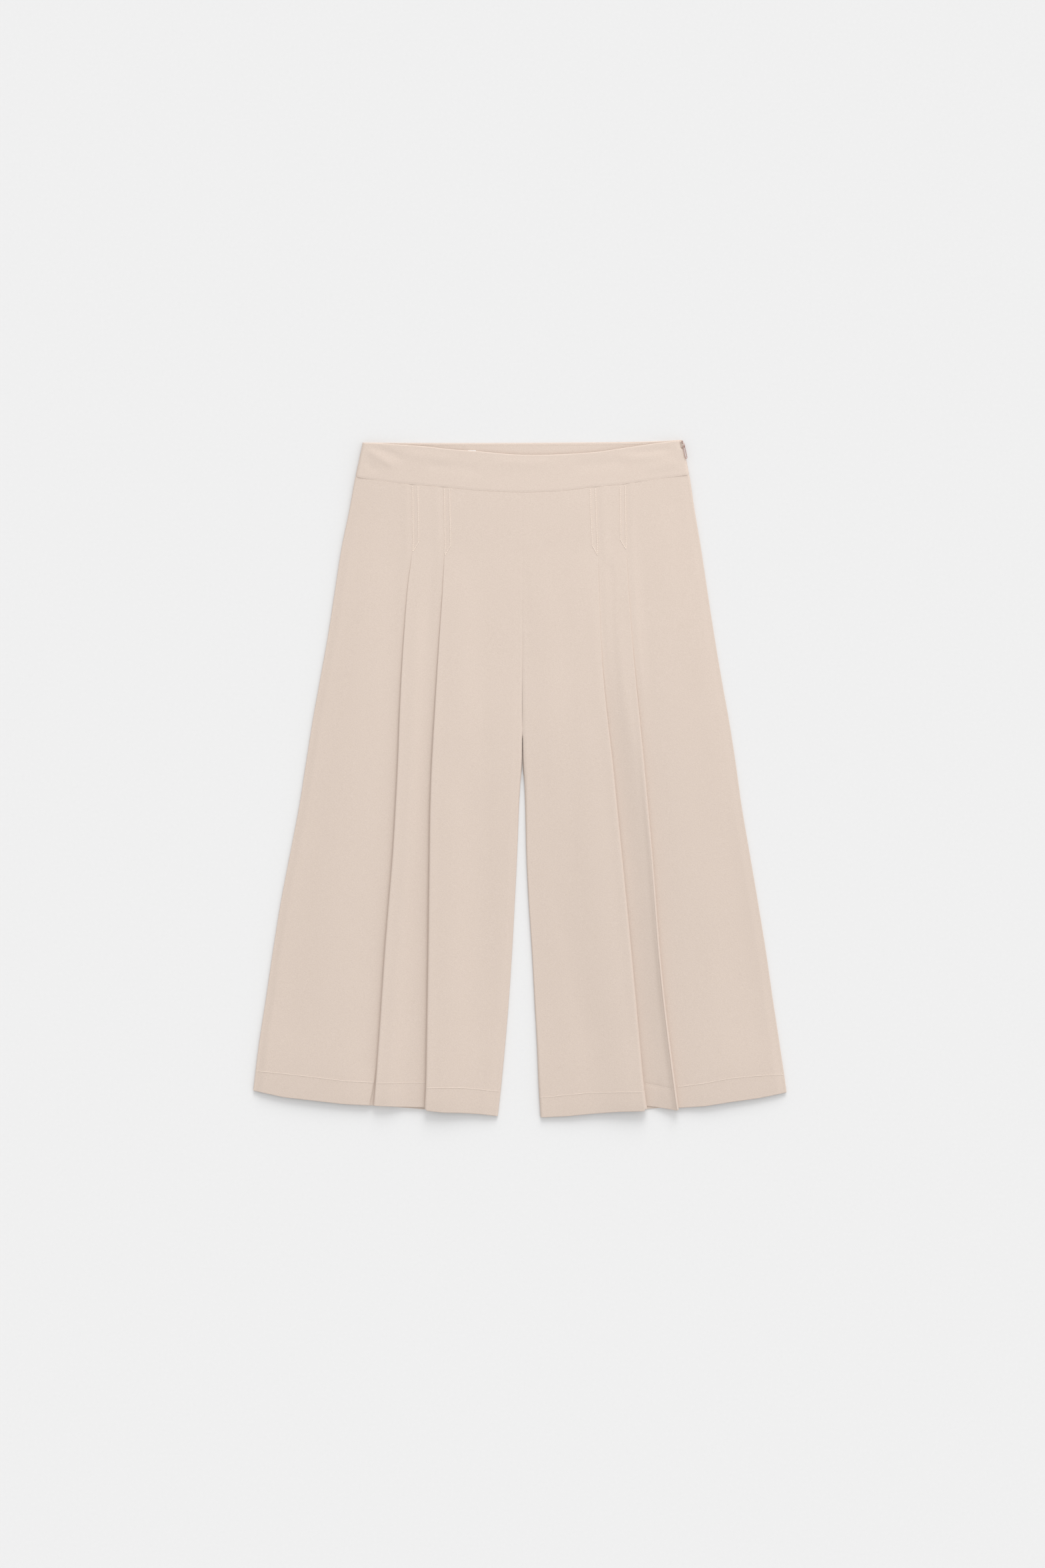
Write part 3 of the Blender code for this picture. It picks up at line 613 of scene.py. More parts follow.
def height_down(v, top_y, row_y, hem_y):
    """y at station v of points with their own places on the waist seam, hem row and hem."""
    y = SEAM_Y + (HEM_Y - SEAM_Y) * v
    near_seam = max(0.0, 1 - v / 0.25) ** 2
    row = HEM_Y + HEM_DEPTH
    if v <= HEM_ROW_SHARE:
        near_row = max(0.0, (v - 0.7) / (HEM_ROW_SHARE - 0.7)) ** 2
        return y + near_seam * (top_y - SEAM_Y) + near_row * (row_y - row)
    past = (v - HEM_ROW_SHARE) / (1 - HEM_ROW_SHARE)
    return y + (row_y - row) * (1 - past) + (hem_y - HEM_Y) * past


def place_across(leg, x, y, y_mid):
    """Moves points across with the leg's lines at their own height."""
    outer, inner = leg_line(leg, "outer", y_mid), leg_line(leg, "inner", y_mid)
    share = (x - outer) / (inner - outer)
    shift_outer = leg_line(leg, "outer", y) - outer
    shift_inner = leg_line(leg, "inner", y) - inner
    return x + (1 - share) * shift_outer + share * shift_inner


def turn_up_at(v):
    """How far in the turned-up hem has started at station v."""
    edge = HEM_ROW_SHARE - 2.6 / (SEAM_Y - HEM_Y)
    return TURN_UP * float(ease((v - edge) * (SEAM_Y - HEM_Y) / 0.9))


def front_panel(leg, lie, lip, hem, row):
    """Grid of a front's middle surface, and how far its face and its inside lie from it."""
    grid, faces, inside = [], [], []
    for v in panel_stations():
        y_mid = SEAM_Y + (HEM_Y - SEAM_Y) * v
        points, kinds, shares, hems, walls, q_3 = front_path(leg, lie, lip, y_mid)
        q, z = points.T
        outer = float(leg_line(leg, "outer", y_mid))
        inward = 1 if outer < 0 else -1
        x = outer + inward * q
        top_y = smooth_line(FRONT_SEAM, x) - FACE
        hem_y = by_section(hem, kinds, shares) + HEM_HALF
        row_y = by_section(row, kinds, shares)
        y = height_down(v, top_y, row_y, hem_y)
        x = place_across(leg, x, y, y_mid)
        fade = ease((q - 3) / 16) * ease((q_3 - q - 1) / 10)
        fade = fade * ease((SEAM_Y - 4 - y) / 40) * ease((y - HEM_Y - 4) / 40)
        z = z + ridges_at(FRONT_RIDGES, x, y) * fade
        grid.append(np.stack((x, y, z), axis=1))
        faces.append(FACE * walls)
        inside.append(FACE * walls + turn_up_at(v) * hems)
    return np.array(grid), np.array(faces), np.array(inside)


def back_panel(leg, hem, row):
    """The same for a back, which lies on the surface with its face down."""
    grid, inside = [], []
    for v in panel_stations():
        y_mid = SEAM_Y + (HEM_Y - SEAM_Y) * v
        outer = float(leg_line(leg, "outer", y_mid))
        inner = float(leg_line(leg, "inner", y_mid))
        closed = float(ease((y_mid - BACK_CROTCH[1]) / (BACK_CROTCH[0] - BACK_CROTCH[1])))
        side = math.copysign(SLIT / 2, outer)
        q_3 = abs(inner + (CENTRE_SEAM_X + side - inner) * closed - outer)
        seam = SEAM_LEVEL - SLIT / 2 - FACE
        radius = (seam - FACE) / 2
        rolled = end_roll(q_3, FACE, FACE, seam, 1.0 - 0.97 * closed, 8, 1)
        start = FACE + radius + 0.5
        flat = spaced(start, rolled[0, 0] - 0.3, (6, 4), (6, 4), 40)
        q, z = np.concatenate((
            run(np.array([ALLOWANCE, FACE + radius + 0.3]), seam),
            arc((FACE + radius, FACE + radius), (radius, radius), 90, 270, 9),
            run(flat, FACE),
            rolled,
        )).T
        inward = 1 if outer < 0 else -1
        x = outer + inward * q
        share = q / q_3
        top_y = smooth_line(BACK_SEAM, x) - SLIT / 2 - FACE
        row_y = across_back(row, share) + BACK_HEM_TUCK
        y = height_down(v, top_y, row_y, across_back(hem, share) + BACK_HEM_TUCK + HEM_HALF)
        x = place_across(leg, x, y, y_mid)
        fade = ease((q - 6) / 20) * ease((q_3 - q - 6) / 20)
        fade = fade * ease((SEAM_Y - 4 - y) / 30) * ease((y - HEM_Y - 34) / 40)
        z = z + ridges_at(BACK_RIDGES, x, y) * fade
        grid.append(np.stack((x, y, z), axis=1))
        hems = ((q > start) & (q < rolled[0, 0])).astype(float)
        inside.append(FACE + turn_up_at(v) * hems)
    return np.array(grid), np.array(inside)


def slider_axes():
    """Origin, and the directions across the slider, up the zip and out of the slider's face."""
    rise = leg_line(LEFT_LEG, "outer", 350.0) - leg_line(LEFT_LEG, "outer", 332.0)
    up = unit(np.array([float(rise), 18.0, 0.0]))
    aside = np.array([up[1], -up[0], 0.0])
    tilt = math.radians(FACE_TILT)
    out = aside * math.cos(tilt) + np.array([0, 0, math.sin(tilt)])
    across = np.cross(up, out)
    edge = float(leg_line(LEFT_LEG, "outer", HINGE_Y))
    roll = BAND_WALL / 2 + BAND_EDGE_RADIUS
    middle = np.array([edge - roll, HINGE_Y, BAND_WALL / 2 + EDGE_GAP + BAND_EDGE_RADIUS])
    return middle + out * HINGE_REACH, np.array([across, up, out])


def make_room_for_slider(points):
    """Presses the waistband's corner in where the zip's slider lies on it."""
    origin, axes = slider_axes()
    local = (points - origin) @ axes.T
    reach = SLIDER_BODY[0] / 2
    seat = -(PULL_WIRE / 2 + HINGE_CLEARANCE) - SLIDER_BODY[2] - 0.1 - BAND_HALF
    inside = ease((reach + 0.7 - np.abs(local[..., 0])) / 0.6) * ease((local[..., 1] + 2.6) / 0.7)
    local[..., 2] -= np.maximum(local[..., 2] - seat, 0) * inside
    pressed = local @ axes + origin
    pressed[..., 2] = np.maximum(pressed[..., 2], BAND_HALF)
    return pressed


def waistband(seam, top, front):
    """Grid of a waistband's middle surface, from its seam up, and half its wall there."""
    flat_z = BAND_WALL / 2 + EDGE_GAP + 2 * BAND_EDGE_RADIUS if front else BAND_HALF
    radius = abs(flat_z - BAND_MEETING) - SLIT / 2
    sign = -1 if front else 1
    grid, halves = [], []
    near_seam = [0, 0.01, 0.02, 0.032, 0.046, 0.062, 0.08]
    for f in np.concatenate((near_seam, np.linspace(0.105, 0.91, 24), [0.95, 0.98, 1])):
        y_left = seam[0][1] + (top[0][1] - seam[0][1]) * f
        y_right = seam[-1][1] + (top[-1][1] - seam[-1][1]) * f
        x_left = float(leg_line(RIGHT_LEG, "outer", y_left))
        x_right = float(leg_line(LEFT_LEG, "outer", y_right))
        width = x_right - x_left
        rolled = end_roll(width, flat_z, BAND_HALF, radius, 1.0, 9, sign)
        turned = rolled[::-1] * (-1, 1) + (width, 0)
        flat = np.linspace(turned[-1, 0], rolled[0, 0], 130)[1:-1]
        q, z = np.concatenate((turned, run(flat, flat_z), rolled)).T
        x = x_left + q
        low_y = smooth_line(seam, x) + BAND_SEAM_HALF
        high_y = smooth_line(top, x) - BAND_HALF
        y = low_y + (high_y - low_y) * f
        full = ease((y - low_y) / 2.4) ** 0.5
        halves.append(BAND_SEAM_HALF + (BAND_HALF - BAND_SEAM_HALF) * full)
        z = z - sign * BAND_SEAM_RISE * (1 - full)
        if front:
            fade = ease((q - 3) / 10) * ease((width - q - 3) / 10)
            fade = fade * ease((y - low_y) / 8) * ease((high_y - y) / 8)
            z = z + ridges_at(BAND_RIDGES, x, y) * fade
        grid.append(np.stack((x, y, z), axis=1))
    return make_room_for_slider(np.array(grid)), np.array(halves)


def closed_shell(middle, face, inside, sign, end_steps):
    """Vertices and faces of a thin closed cloth round a grid of points on its middle surface.

    `face` and `inside` are how far its two sides lie from the middle, and `sign` says to which
    side the face is. The first and last rows end in a half round."""
    down = tangent(middle, 0)
    normal = sign * unit(np.cross(tangent(middle, 1), down))
    face = np.broadcast_to(face, middle.shape[:2])[..., None]
    inside = np.broadcast_to(inside, middle.shape[:2])[..., None]
    outer = middle + normal * face
    inner = middle - normal * inside

    def half_round(row, direction):
        centre = (outer[row] + inner[row]) / 2
        half = (face[row] + inside[row]) / 2
        angles = np.linspace(0, math.pi, end_steps + 2)[1:-1]
        return np.array([
            centre + normal[row] * half * math.cos(a) + direction * half * math.sin(a)
            for a in angles
        ])

    last, first = half_round(-1, down[-1]), half_round(0, -down[0])
    rings = np.concatenate((outer, last, inner[::-1], first[::-1]))
    ring_count, width = rings.shape[:2]
    rows = len(middle)
    index = np.arange(ring_count * width).reshape(ring_count, width)
    below = np.roll(index, -1, axis=0)
    quads = np.stack((index[:, :-1], below[:, :-1], below[:, 1:], index[:, 1:]), axis=-1)
    faces = quads.reshape(-1, 4).tolist()
    opposite = 2 * rows + end_steps - 1
    for i in (0, width - 1):
        edge = index[:, i]
        for j in range(rows - 1):
            faces.append([edge[j], edge[j + 1], edge[opposite - j - 1], edge[opposite - j]])
        faces.append(list(edge[rows - 1:rows + end_steps + 1]))
        faces.append([edge[0], *edge[opposite:]])
    return rings.reshape(-1, 3), faces


def put(name, data):
    """An object of a mesh, light or camera, in the scene."""
    made = bpy.data.objects.new(name, data)
    bpy.context.scene.collection.objects.link(made)
    return made


def make_mesh(name, vertices, faces, body, slot, look, replaces=(), sharp=50):
    """A mesh object from points in millimetres, riding on a body."""
    mesh = bpy.data.meshes.new(name)
    mesh.from_pydata((np.asarray(vertices) * MM).tolist(), [], [list(map(int, f)) for f in faces])
    bm = bmesh.new()
    bm.from_mesh(mesh)
    bmesh.ops.recalc_face_normals(bm, faces=bm.faces)
    bm.to_mesh(mesh)
    bm.free()
    mesh.shade_smooth()
    mesh.set_sharp_from_angle(angle=math.radians(sharp))
    mesh.materials.append(look)
    made = put(name, mesh)
    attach(made, body)
    if replaces:
        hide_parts(*replaces)
    return made


def join(parts):
    """Several (vertices, faces) as one."""
    vertices, faces, count = [], [], 0
    for points, polygons in parts:
        vertices.append(np.asarray(points, float))
        faces += [[i + count for i in polygon] for polygon in polygons]
        count += len(points)
    return np.concatenate(vertices), faces


def angles_round(sides):
    return np.linspace(0, 2 * math.pi, sides, endpoint=False)


def tube_of(rings):
    """Vertices and faces of a tube with closed ends, from the lines that run along it."""
    vertices = np.stack(rings, axis=1).reshape(-1, 3)
    sides, last = len(rings), len(rings[0]) - 1
    faces = []
    for i in range(last):
        for j in range(sides):
            k = (j + 1) % sides
            faces.append([i * sides + j, i * sides + k, (i + 1) * sides + k, (i + 1) * sides + j])
    faces.append(list(range(sides)))
    faces.append([last * sides + j for j in range(sides)])
    return vertices, faces


def loop_faces(steps, sides):
    """Faces of a tube that closes on itself."""
    faces = []
    for i in range(steps):
        for j in range(sides):
            k, m = (i + 1) % steps, (j + 1) % sides
            faces.append([i * sides + j, k * sides + j, k * sides + m, i * sides + m])
    return faces


def thread_shape(route, radius, sides=6):
    """A thin tube through a few points, with closed ends."""
    along = tangent(route, 0)
    aside = unit(np.cross(along, (0, 0, 1.0)))
    lift = np.cross(aside, along)
    return tube_of([
        route + radius * (aside * math.cos(angle) + lift * math.sin(angle))
        for angle in angles_round(sides)
    ])


class Surface:
    """The cloth's surface, for finding the height of a place from above or from below."""

    def __init__(self, shells):
        vertices, faces = join(shells)
        self.tree = BVHTree.FromPolygons(vertices.tolist(), faces)

    def route(self, places, from_above):
        """Places (x, y, lift) put on the cloth, each `lift` off it, or None if one misses it."""
        side = 1 if from_above else -1
        found = []
        for x, y, lift in places:
            start = Vector((x, y, side * RAY_START))
            place = self.tree.ray_cast(start, Vector((0, 0, -side)))[0]
            if place is None:
                return None
            found.append(np.array(place) + (0, 0, side * lift))
        return np.array(found)


class Row:
    """A line of places, and the place at any length along it."""

    def __init__(self, line):
        self.line = np.asarray(line, float)
        steps = np.linalg.norm(np.diff(self.line, axis=0), axis=1)
        self.lengths = np.concatenate(([0], np.cumsum(steps)))
        self.length = self.lengths[-1]

    def at(self, s):
        return tuple(np.interp(s, self.lengths, self.line[:, i]) for i in range(2))


def stitch_row(surface, line, from_above=True, length=STITCH, space=STITCH_SPACE, radius=THREAD):
    """Stitches along a line of places, each one dipping into the cloth at its ends."""
    row = Row(line)
    parts = []
    for start in np.arange(0, row.length - length, length + space):
        places = [(*row.at(start + share * length), rise * radius) for share, rise in STITCH_RISE]
        route = surface.route(places, from_above)
        if route is not None and np.ptp(route[:, 2]) < STITCH_STEP:
            parts.append(thread_shape(route, radius))
    return parts


def seam_ticks(surface, line, from_above=True):
    """Short threads that pull a seam together."""
    row = Row(line)
    parts = []
    for s in np.arange(TICK_START, row.length - TICK_START, TICK_SPACE):
        x, y = row.at(s)
        places = [(x + TICK_LEAN * across, y + across, lift) for across, lift in TICK]
        route = surface.route(places, from_above)
        if route is not None:
            beside = route[1, 2], route[3, 2]
            route[2, 2] = max(beside) if from_above else min(beside)
            parts.append(thread_shape(route, TICK_RADIUS))
    return parts


# Materials -----------------------------------------------------------------------------------


def add_node(tree, kind, inputs=(), **settings):
    """A shader node with its settings and inputs; an input that is a socket is linked."""
    node = tree.nodes.new(kind)
    for key, value in settings.items():
        setattr(node, key, value)
    for key, value in dict(inputs).items():
        if isinstance(value, bpy.types.NodeSocket):
            tree.links.new(value, node.inputs[key])
        else:
            node.inputs[key].default_value = value
    return node


class Nodes:
    """A short way to add linked shader nodes to a material."""

    def __init__(self, name):
        self.material = bpy.data.materials.new(name)
        self.material.use_nodes = True
        self.tree = self.material.node_tree
        self.shader = self.tree.nodes["Principled BSDF"]
        self.place = self.add("ShaderNodeTexCoord").outputs["Object"]

    def add(self, kind, inputs=(), **settings):
        return add_node(self.tree, kind, inputs, **settings)

    def noise(self, place, scale, detail, roughness):
        return self.add("ShaderNodeTexNoise", {
            "Vector": place, "Scale": scale, "Detail": detail, "Roughness": roughness,
        }).outputs["Fac"]

    def stretched(self, place, factors):
        return self.add("ShaderNodeMapping", {"Vector": place, "Scale": factors}).outputs["Vector"]

    def maths(self, operation, a, b):
        return self.add("ShaderNodeMath", {0: a, 1: b}, operation=operation).outputs[0]

    def blend(self, factor, low, high):
        """A colour between two, by a factor."""
        made = self.add("ShaderNodeMix", {"Factor": factor}, data_type="RGBA")
        made.inputs["A"].default_value = (*low, 1)
        made.inputs["B"].default_value = (*high, 1)
        return made.outputs["Result"]

    def limits(self, value, low, high, to_low=0.0, to_high=1.0):
        return self.add("ShaderNodeMapRange", {
            "Value": value, "From Min": low, "From Max": high, "To Min": to_low, "To Max": to_high,
        }).outputs["Result"]

    def finish(self, colour, roughness, height, strength, distance, **constants):
        tree, shader = self.tree, self.shader
        tree.links.new(colour, shader.inputs["Base Color"])
        tree.links.new(roughness, shader.inputs["Roughness"])
        bump = self.add("ShaderNodeBump", {
            "Height": height, "Strength": strength, "Distance": distance,
        })
        tree.links.new(bump.outputs["Normal"], shader.inputs["Normal"])
        for key, value in constants.items():
            shader.inputs[key.replace("_", " ")].default_value = value
        return self.material


def cloth_material(name, dark, light, grain=1000.0, sheen=0.25):
    """A fine matt crepe: a close pebbled grain over the faintest threads both ways."""
    nodes = Nodes(name)
    warp = nodes.noise(nodes.stretched(nodes.place, (1.0, 0.45, 1.0)), grain * 1.6, 1.0, 0.5)
    weft = nodes.noise(nodes.stretched(nodes.place, (0.45, 1.0, 1.0)), grain * 1.6, 1.0, 0.5)
    pebble = nodes.noise(nodes.place, grain, 3.0, 0.6)
    threads = nodes.maths("MULTIPLY", nodes.maths("ADD", warp, weft), 0.35)
    height = nodes.maths("ADD", threads, nodes.maths("MULTIPLY", pebble, 0.65))
    shade = nodes.noise(nodes.place, 30.0, 3.0, 0.6)
    fleck = nodes.limits(height, 0.42, 0.93)
    mixed = nodes.maths("ADD", nodes.maths("MULTIPLY", fleck, 0.88),
                        nodes.maths("MULTIPLY", shade, 0.12))
    colour = nodes.blend(mixed, dark, light)
    roughness = nodes.limits(pebble, 0.2, 0.8, 0.80, 0.95)
    return nodes.finish(colour, roughness, height, 0.45, 0.0002,
                        Sheen_Weight=sheen, Sheen_Roughness=0.45,
                        Sheen_Tint=(*light, 1), Specular_IOR_Level=0.25)


def thread_material(name, dark, light):
    nodes = Nodes(name)
    twist = nodes.noise(nodes.place, 3200.0, 2.0, 0.6)
    colour = nodes.blend(nodes.limits(twist, 0.3, 0.7), dark, light)
    roughness = nodes.limits(twist, 0.3, 0.7, 0.50, 0.65)
    return nodes.finish(colour, roughness, twist, 0.4, 0.0001,
                        Sheen_Weight=0.2, Sheen_Roughness=0.4, Specular_IOR_Level=0.4)


def enamel_material(name, dark, light):
    """Enamel over metal, worn a little unevenly."""
    nodes = Nodes(name)
    cloudy = nodes.noise(nodes.place, 250.0, 1.0, 0.5)
    fine = nodes.noise(nodes.place, 1500.0, 1.0, 0.5)
    colour = nodes.blend(nodes.limits(cloudy, 0.2, 0.8), dark, light)
    roughness = nodes.limits(fine, 0.2, 0.8, 0.26, 0.34)
    return nodes.finish(colour, roughness, cloudy, 0.08, 0.00005,
                        Metallic=0.35, Specular_IOR_Level=0.6)


CREPE = cloth_material("crepe", (0.590, 0.489, 0.420), (0.698, 0.594, 0.520))
LABEL_CLOTH = cloth_material("label_cloth", (0.80, 0.79, 0.77), (0.93, 0.92, 0.90), 1400.0, 0.1)
TAPE_CLOTH = cloth_material("zip_cloth", (0.55, 0.45, 0.37), (0.72, 0.60, 0.50), 1300.0, 0.15)
THREAD_LIGHT = thread_material("thread_light", (0.74, 0.64, 0.56), (0.88, 0.79, 0.71))
THREAD_PLEAT = thread_material("thread_pleat", (0.79, 0.68, 0.59), (0.91, 0.81, 0.72))
THREAD_CLOTH = thread_material("thread_cloth", (0.57, 0.47, 0.40), (0.71, 0.605, 0.53))
ENAMEL = enamel_material("zip_enamel", (0.42, 0.27, 0.235), (0.56, 0.39, 0.345))
PALE_ENAMEL = enamel_material("zip_body_enamel", (0.62, 0.51, 0.44), (0.72, 0.61, 0.53))


# The garment ---------------------------------------------------------------------------------


def make_cloth():
    """The four panels and the two waistbands: their shells and their objects, by node."""
    shells = []
    for side, leg, lie, hem, row in (
        ("right", RIGHT_LEG, RIGHT_LIE, RIGHT_HEM, RIGHT_ROW),
        ("left", LEFT_LEG, LEFT_LIE, LEFT_HEM, LEFT_ROW),
    ):
        sign = -1 if side == "right" else 1
        middle, face, inside = front_panel(leg, lie, side == "right", hem, row)
        shells.append(("front_panel_" + side, closed_shell(middle, face, inside, sign, 3)))
        middle, inside = back_panel(leg, hem, row)
        shells.append(("back_panel_" + side, closed_shell(middle, FACE, inside, -sign, 3)))
    for name, seam, top, front in (
        ("waistband_front", FRONT_SEAM, FRONT_TOP, True),
        ("waistband_back", BACK_SEAM, BACK_TOP, False),
    ):
        middle, half = waistband(seam, top, front)
        sign = 1 if front else -1
        shells.append((name, closed_shell(middle, half, half, sign, 6)))
    made = {
        name: make_mesh("cloth_" + name, *shell, "shorts", "crepe", CREPE, [name])
        for name, shell in shells
    }
    return [shell for _, shell in shells], made


def pleat_rows(leg, ends, surface):
    """Two rows of stitching beside each fold, closed by a slanting row at their lower end."""
    inward = 1 if leg[0][1] < 0 else -1
    parts = []
    for name, end in zip(("fold_1", "fold_2"), ends):
        lines = []
        for past, stop in zip(PLEAT_ROWS, (end, end + PLEAT_CLOSE)):
            x_top = float(leg_line(leg, name, SEAM_Y)) + inward * past
            top = float(smooth_line(FRONT_SEAM, x_top)) - PLEAT_ROW_TOP
            heights = np.linspace(top, stop, 12)
            lines.append(np.stack((leg_line(leg, name, heights) + inward * past, heights), 1))
        for line in lines:
            parts += stitch_row(surface, line)
        parts += stitch_row(surface, np.array([lines[1][-1] + PLEAT_CLOSE_GAP, lines[0][-1]]))
    return parts


def hem_rows(leg, row, surface):
    """The hem's row on each section of a front and on the whole back."""
    y_mid = HEM_Y + HEM_DEPTH
    parts = []
    lines = {name: float(leg_line(leg, name, y_mid)) for name in LEG_COLUMNS[1:]}
    inward = 1 if lines["outer"] < 0 else -1
    for section, start, end in zip(SECTIONS, LEG_COLUMNS[1:], LEG_COLUMNS[2:]):
        share = np.linspace(0, 1, 25)
        x = lines[start] + (lines[end] - lines[start]) * share
        y = np.interp(share, QUARTERS, row[section])
        x = place_across(leg, x, y, y_mid)
        line = np.stack((x, y), 1)[1:-1]
        line[0, 0] = x[0] + inward * HEM_ROW_ENDS[0]
        line[-1, 0] = x[-1] - inward * HEM_ROW_ENDS[1]
        thick = THREAD_SUNK if section == "middle" and inward == -1 else THREAD_HEM
        parts += stitch_row(surface, line, True, *HEM_STITCH, thick)
    share = np.linspace(0.01, 0.985, 40)
    x = lines["outer"] + (lines["inner"] - lines["outer"]) * share
    y = across_back(row, share) + BACK_HEM_TUCK
    x = place_across(leg, x, y, y_mid)
    parts += stitch_row(surface, np.stack((x, y), 1), False, *HEM_STITCH, THREAD_SUNK)
    return parts


def line_over(ends, edge, drop=0.0):
    """Places along a seam or edge between two x, `drop` below it."""
    x = np.linspace(*ends, ROW_POINTS)
    return np.stack((x, smooth_line(edge, x) - drop), 1)


def make_stitching(surface):
    parts = pleat_rows(RIGHT_LEG, RIGHT_PLEAT_ENDS, surface)
    parts += pleat_rows(LEFT_LEG, LEFT_PLEAT_ENDS, surface)
    make_mesh("pleat_stitching", *join(parts), "shorts", "crepe", THREAD_PLEAT)
    parts = hem_rows(RIGHT_LEG, RIGHT_ROW, surface) + hem_rows(LEFT_LEG, LEFT_ROW, surface)
    make_mesh("hem_stitching", *join(parts), "shorts", "crepe", THREAD_LIGHT)
    parts = seam_ticks(surface, line_over(FRONT_TICKS_X, FRONT_SEAM))
    parts += seam_ticks(surface, line_over(BACK_TICKS_X, BACK_SEAM), from_above=False)
    make_mesh("waist_seam_stitching", *join(parts), "shorts", "crepe", THREAD_CLOTH)
    parts = stitch_row(surface, line_over(UNDERSTITCH_X, BACK_TOP, UNDERSTITCH_DROP), **UNDERSTITCH)
    make_mesh("understitching", *join(parts), "shorts", "crepe", THREAD_LIGHT)


def make_label():
    """A bare woven label, sewn on along its top, its lower end a little proud."""
    width, length = LABEL_SIZE
    rows = []
    for t in np.linspace(0, 1, 15):
        x = LABEL_TOP[0] + width * np.linspace(-0.5, 0.5, 9)
        y = np.full(9, LABEL_TOP[1] - LABEL_TUCK - (length - LABEL_SHORT) * t)
        curl = LABEL_CURL * np.cos((x - LABEL_TOP[0]) / width * math.pi)
        z = LABEL_LEVEL + LABEL_LIFT * t * t + curl
        rows.append(np.stack((x, y, z), axis=1))
    vertices, faces = closed_shell(np.array(rows), LABEL_HALF, LABEL_HALF, -1, 2)
    return make_mesh("label_blank", vertices, faces, "shorts", "label_cloth", LABEL_CLOTH,
                     ["label"])


def tape_level(y):
    """Height of what the tape lies on: the back panel, then the back waistband."""
    in_band = ease((y - (FRONT_SEAM[-1][1] - TAPE_STEP[0])) / TAPE_STEP[1])
    return TAPE_LEVEL + TAPE_BAND_RISE * in_band


def make_zip_tape():
    """The woven tape in the side seam, and the coil along its edge."""
    heights = np.linspace(TAPE_TOP_Y - TAPE_END_GAP, TAPE_END_Y + TAPE_END_GAP, 90)
    edge = leg_line(LEFT_LEG, "outer", heights) - TAPE_INSET
    rows = []
    for y, right in zip(heights, edge):
        x = right - TAPE_SIDE_GAP - (TAPE_WIDTH - 2 * TAPE_SIDE_GAP) * np.linspace(0, 1, 8)
        wave = TAPE_WAVE * np.cos(np.arange(8) * 1.3)
        z = float(tape_level(y)) + TAPE_MIDDLE + wave
        rows.append(np.stack((x, np.full(8, y), z), axis=1))
    tape = closed_shell(np.array(rows), TAPE_HALF, TAPE_HALF, 1, 2)
    turns = int((TAPE_TOP_Y - TAPE_END_Y - 2 * COIL_END_GAP) / COIL_PITCH)
    angle = np.linspace(0, 2 * math.pi * turns, turns * 9)
    y = np.linspace(TAPE_TOP_Y - COIL_END_GAP, TAPE_END_Y + COIL_END_GAP, len(angle))
    x = leg_line(LEFT_LEG, "outer", y) - TAPE_INSET - COIL_INSET + COIL_SIZE[0] * np.cos(angle)
    z = tape_level(y) + COIL_RISE + COIL_SIZE[1] * np.sin(angle)
    coil = thread_shape(np.stack((x, y, z), axis=1), COIL_THREAD, 5)
    return [
        make_mesh("zip_tape_woven", *tape, "shorts", "zip_cloth", TAPE_CLOTH, ["zip_tape"]),
        make_mesh("zip_coil", *coil, "shorts", "zip_cloth", THREAD_CLOTH),
    ]


def ring_shape(centre, major, minor, steps=28, sides=10):
    """A round ring that lies flat in the slider's own axes."""
    vertices = []
    for i in range(steps):
        around = 2 * math.pi * i / steps
        for j in range(sides):
            angle = 2 * math.pi * j / sides
            radius = major + minor * math.cos(angle)
            vertices.append((centre[0] + radius * math.cos(around),
                             centre[1] + radius * math.sin(around),
                             centre[2] + minor * math.sin(angle)))
    return np.array(vertices), loop_faces(steps, sides)


def rounded_block(low, high, taper, bevel):
    """A bevelled block in the slider's axes, narrower by `taper` at its upper end."""
    bm = bmesh.new()
    made = bmesh.ops.create_cube(bm, size=1)["verts"]
    for vert in made:
        for axis in range(3):
            vert.co[axis] = high[axis] if vert.co[axis] > 0 else low[axis]
        if vert.co.y > (low[1] + high[1]) / 2:
            vert.co.x *= taper
    bmesh.ops.bevel(bm, geom=bm.edges[:], offset=bevel, segments=3, profile=0.5, affect="EDGES")
    vertices = np.array([vert.co for vert in bm.verts])
    faces = [[vert.index for vert in polygon.verts] for polygon in bm.faces]
    bm.free()
    return vertices, faces


def to_part(points):
    """From the slider's own axes to the part's frame."""
    origin, axes = slider_axes()
    return np.asarray(points) @ axes + origin


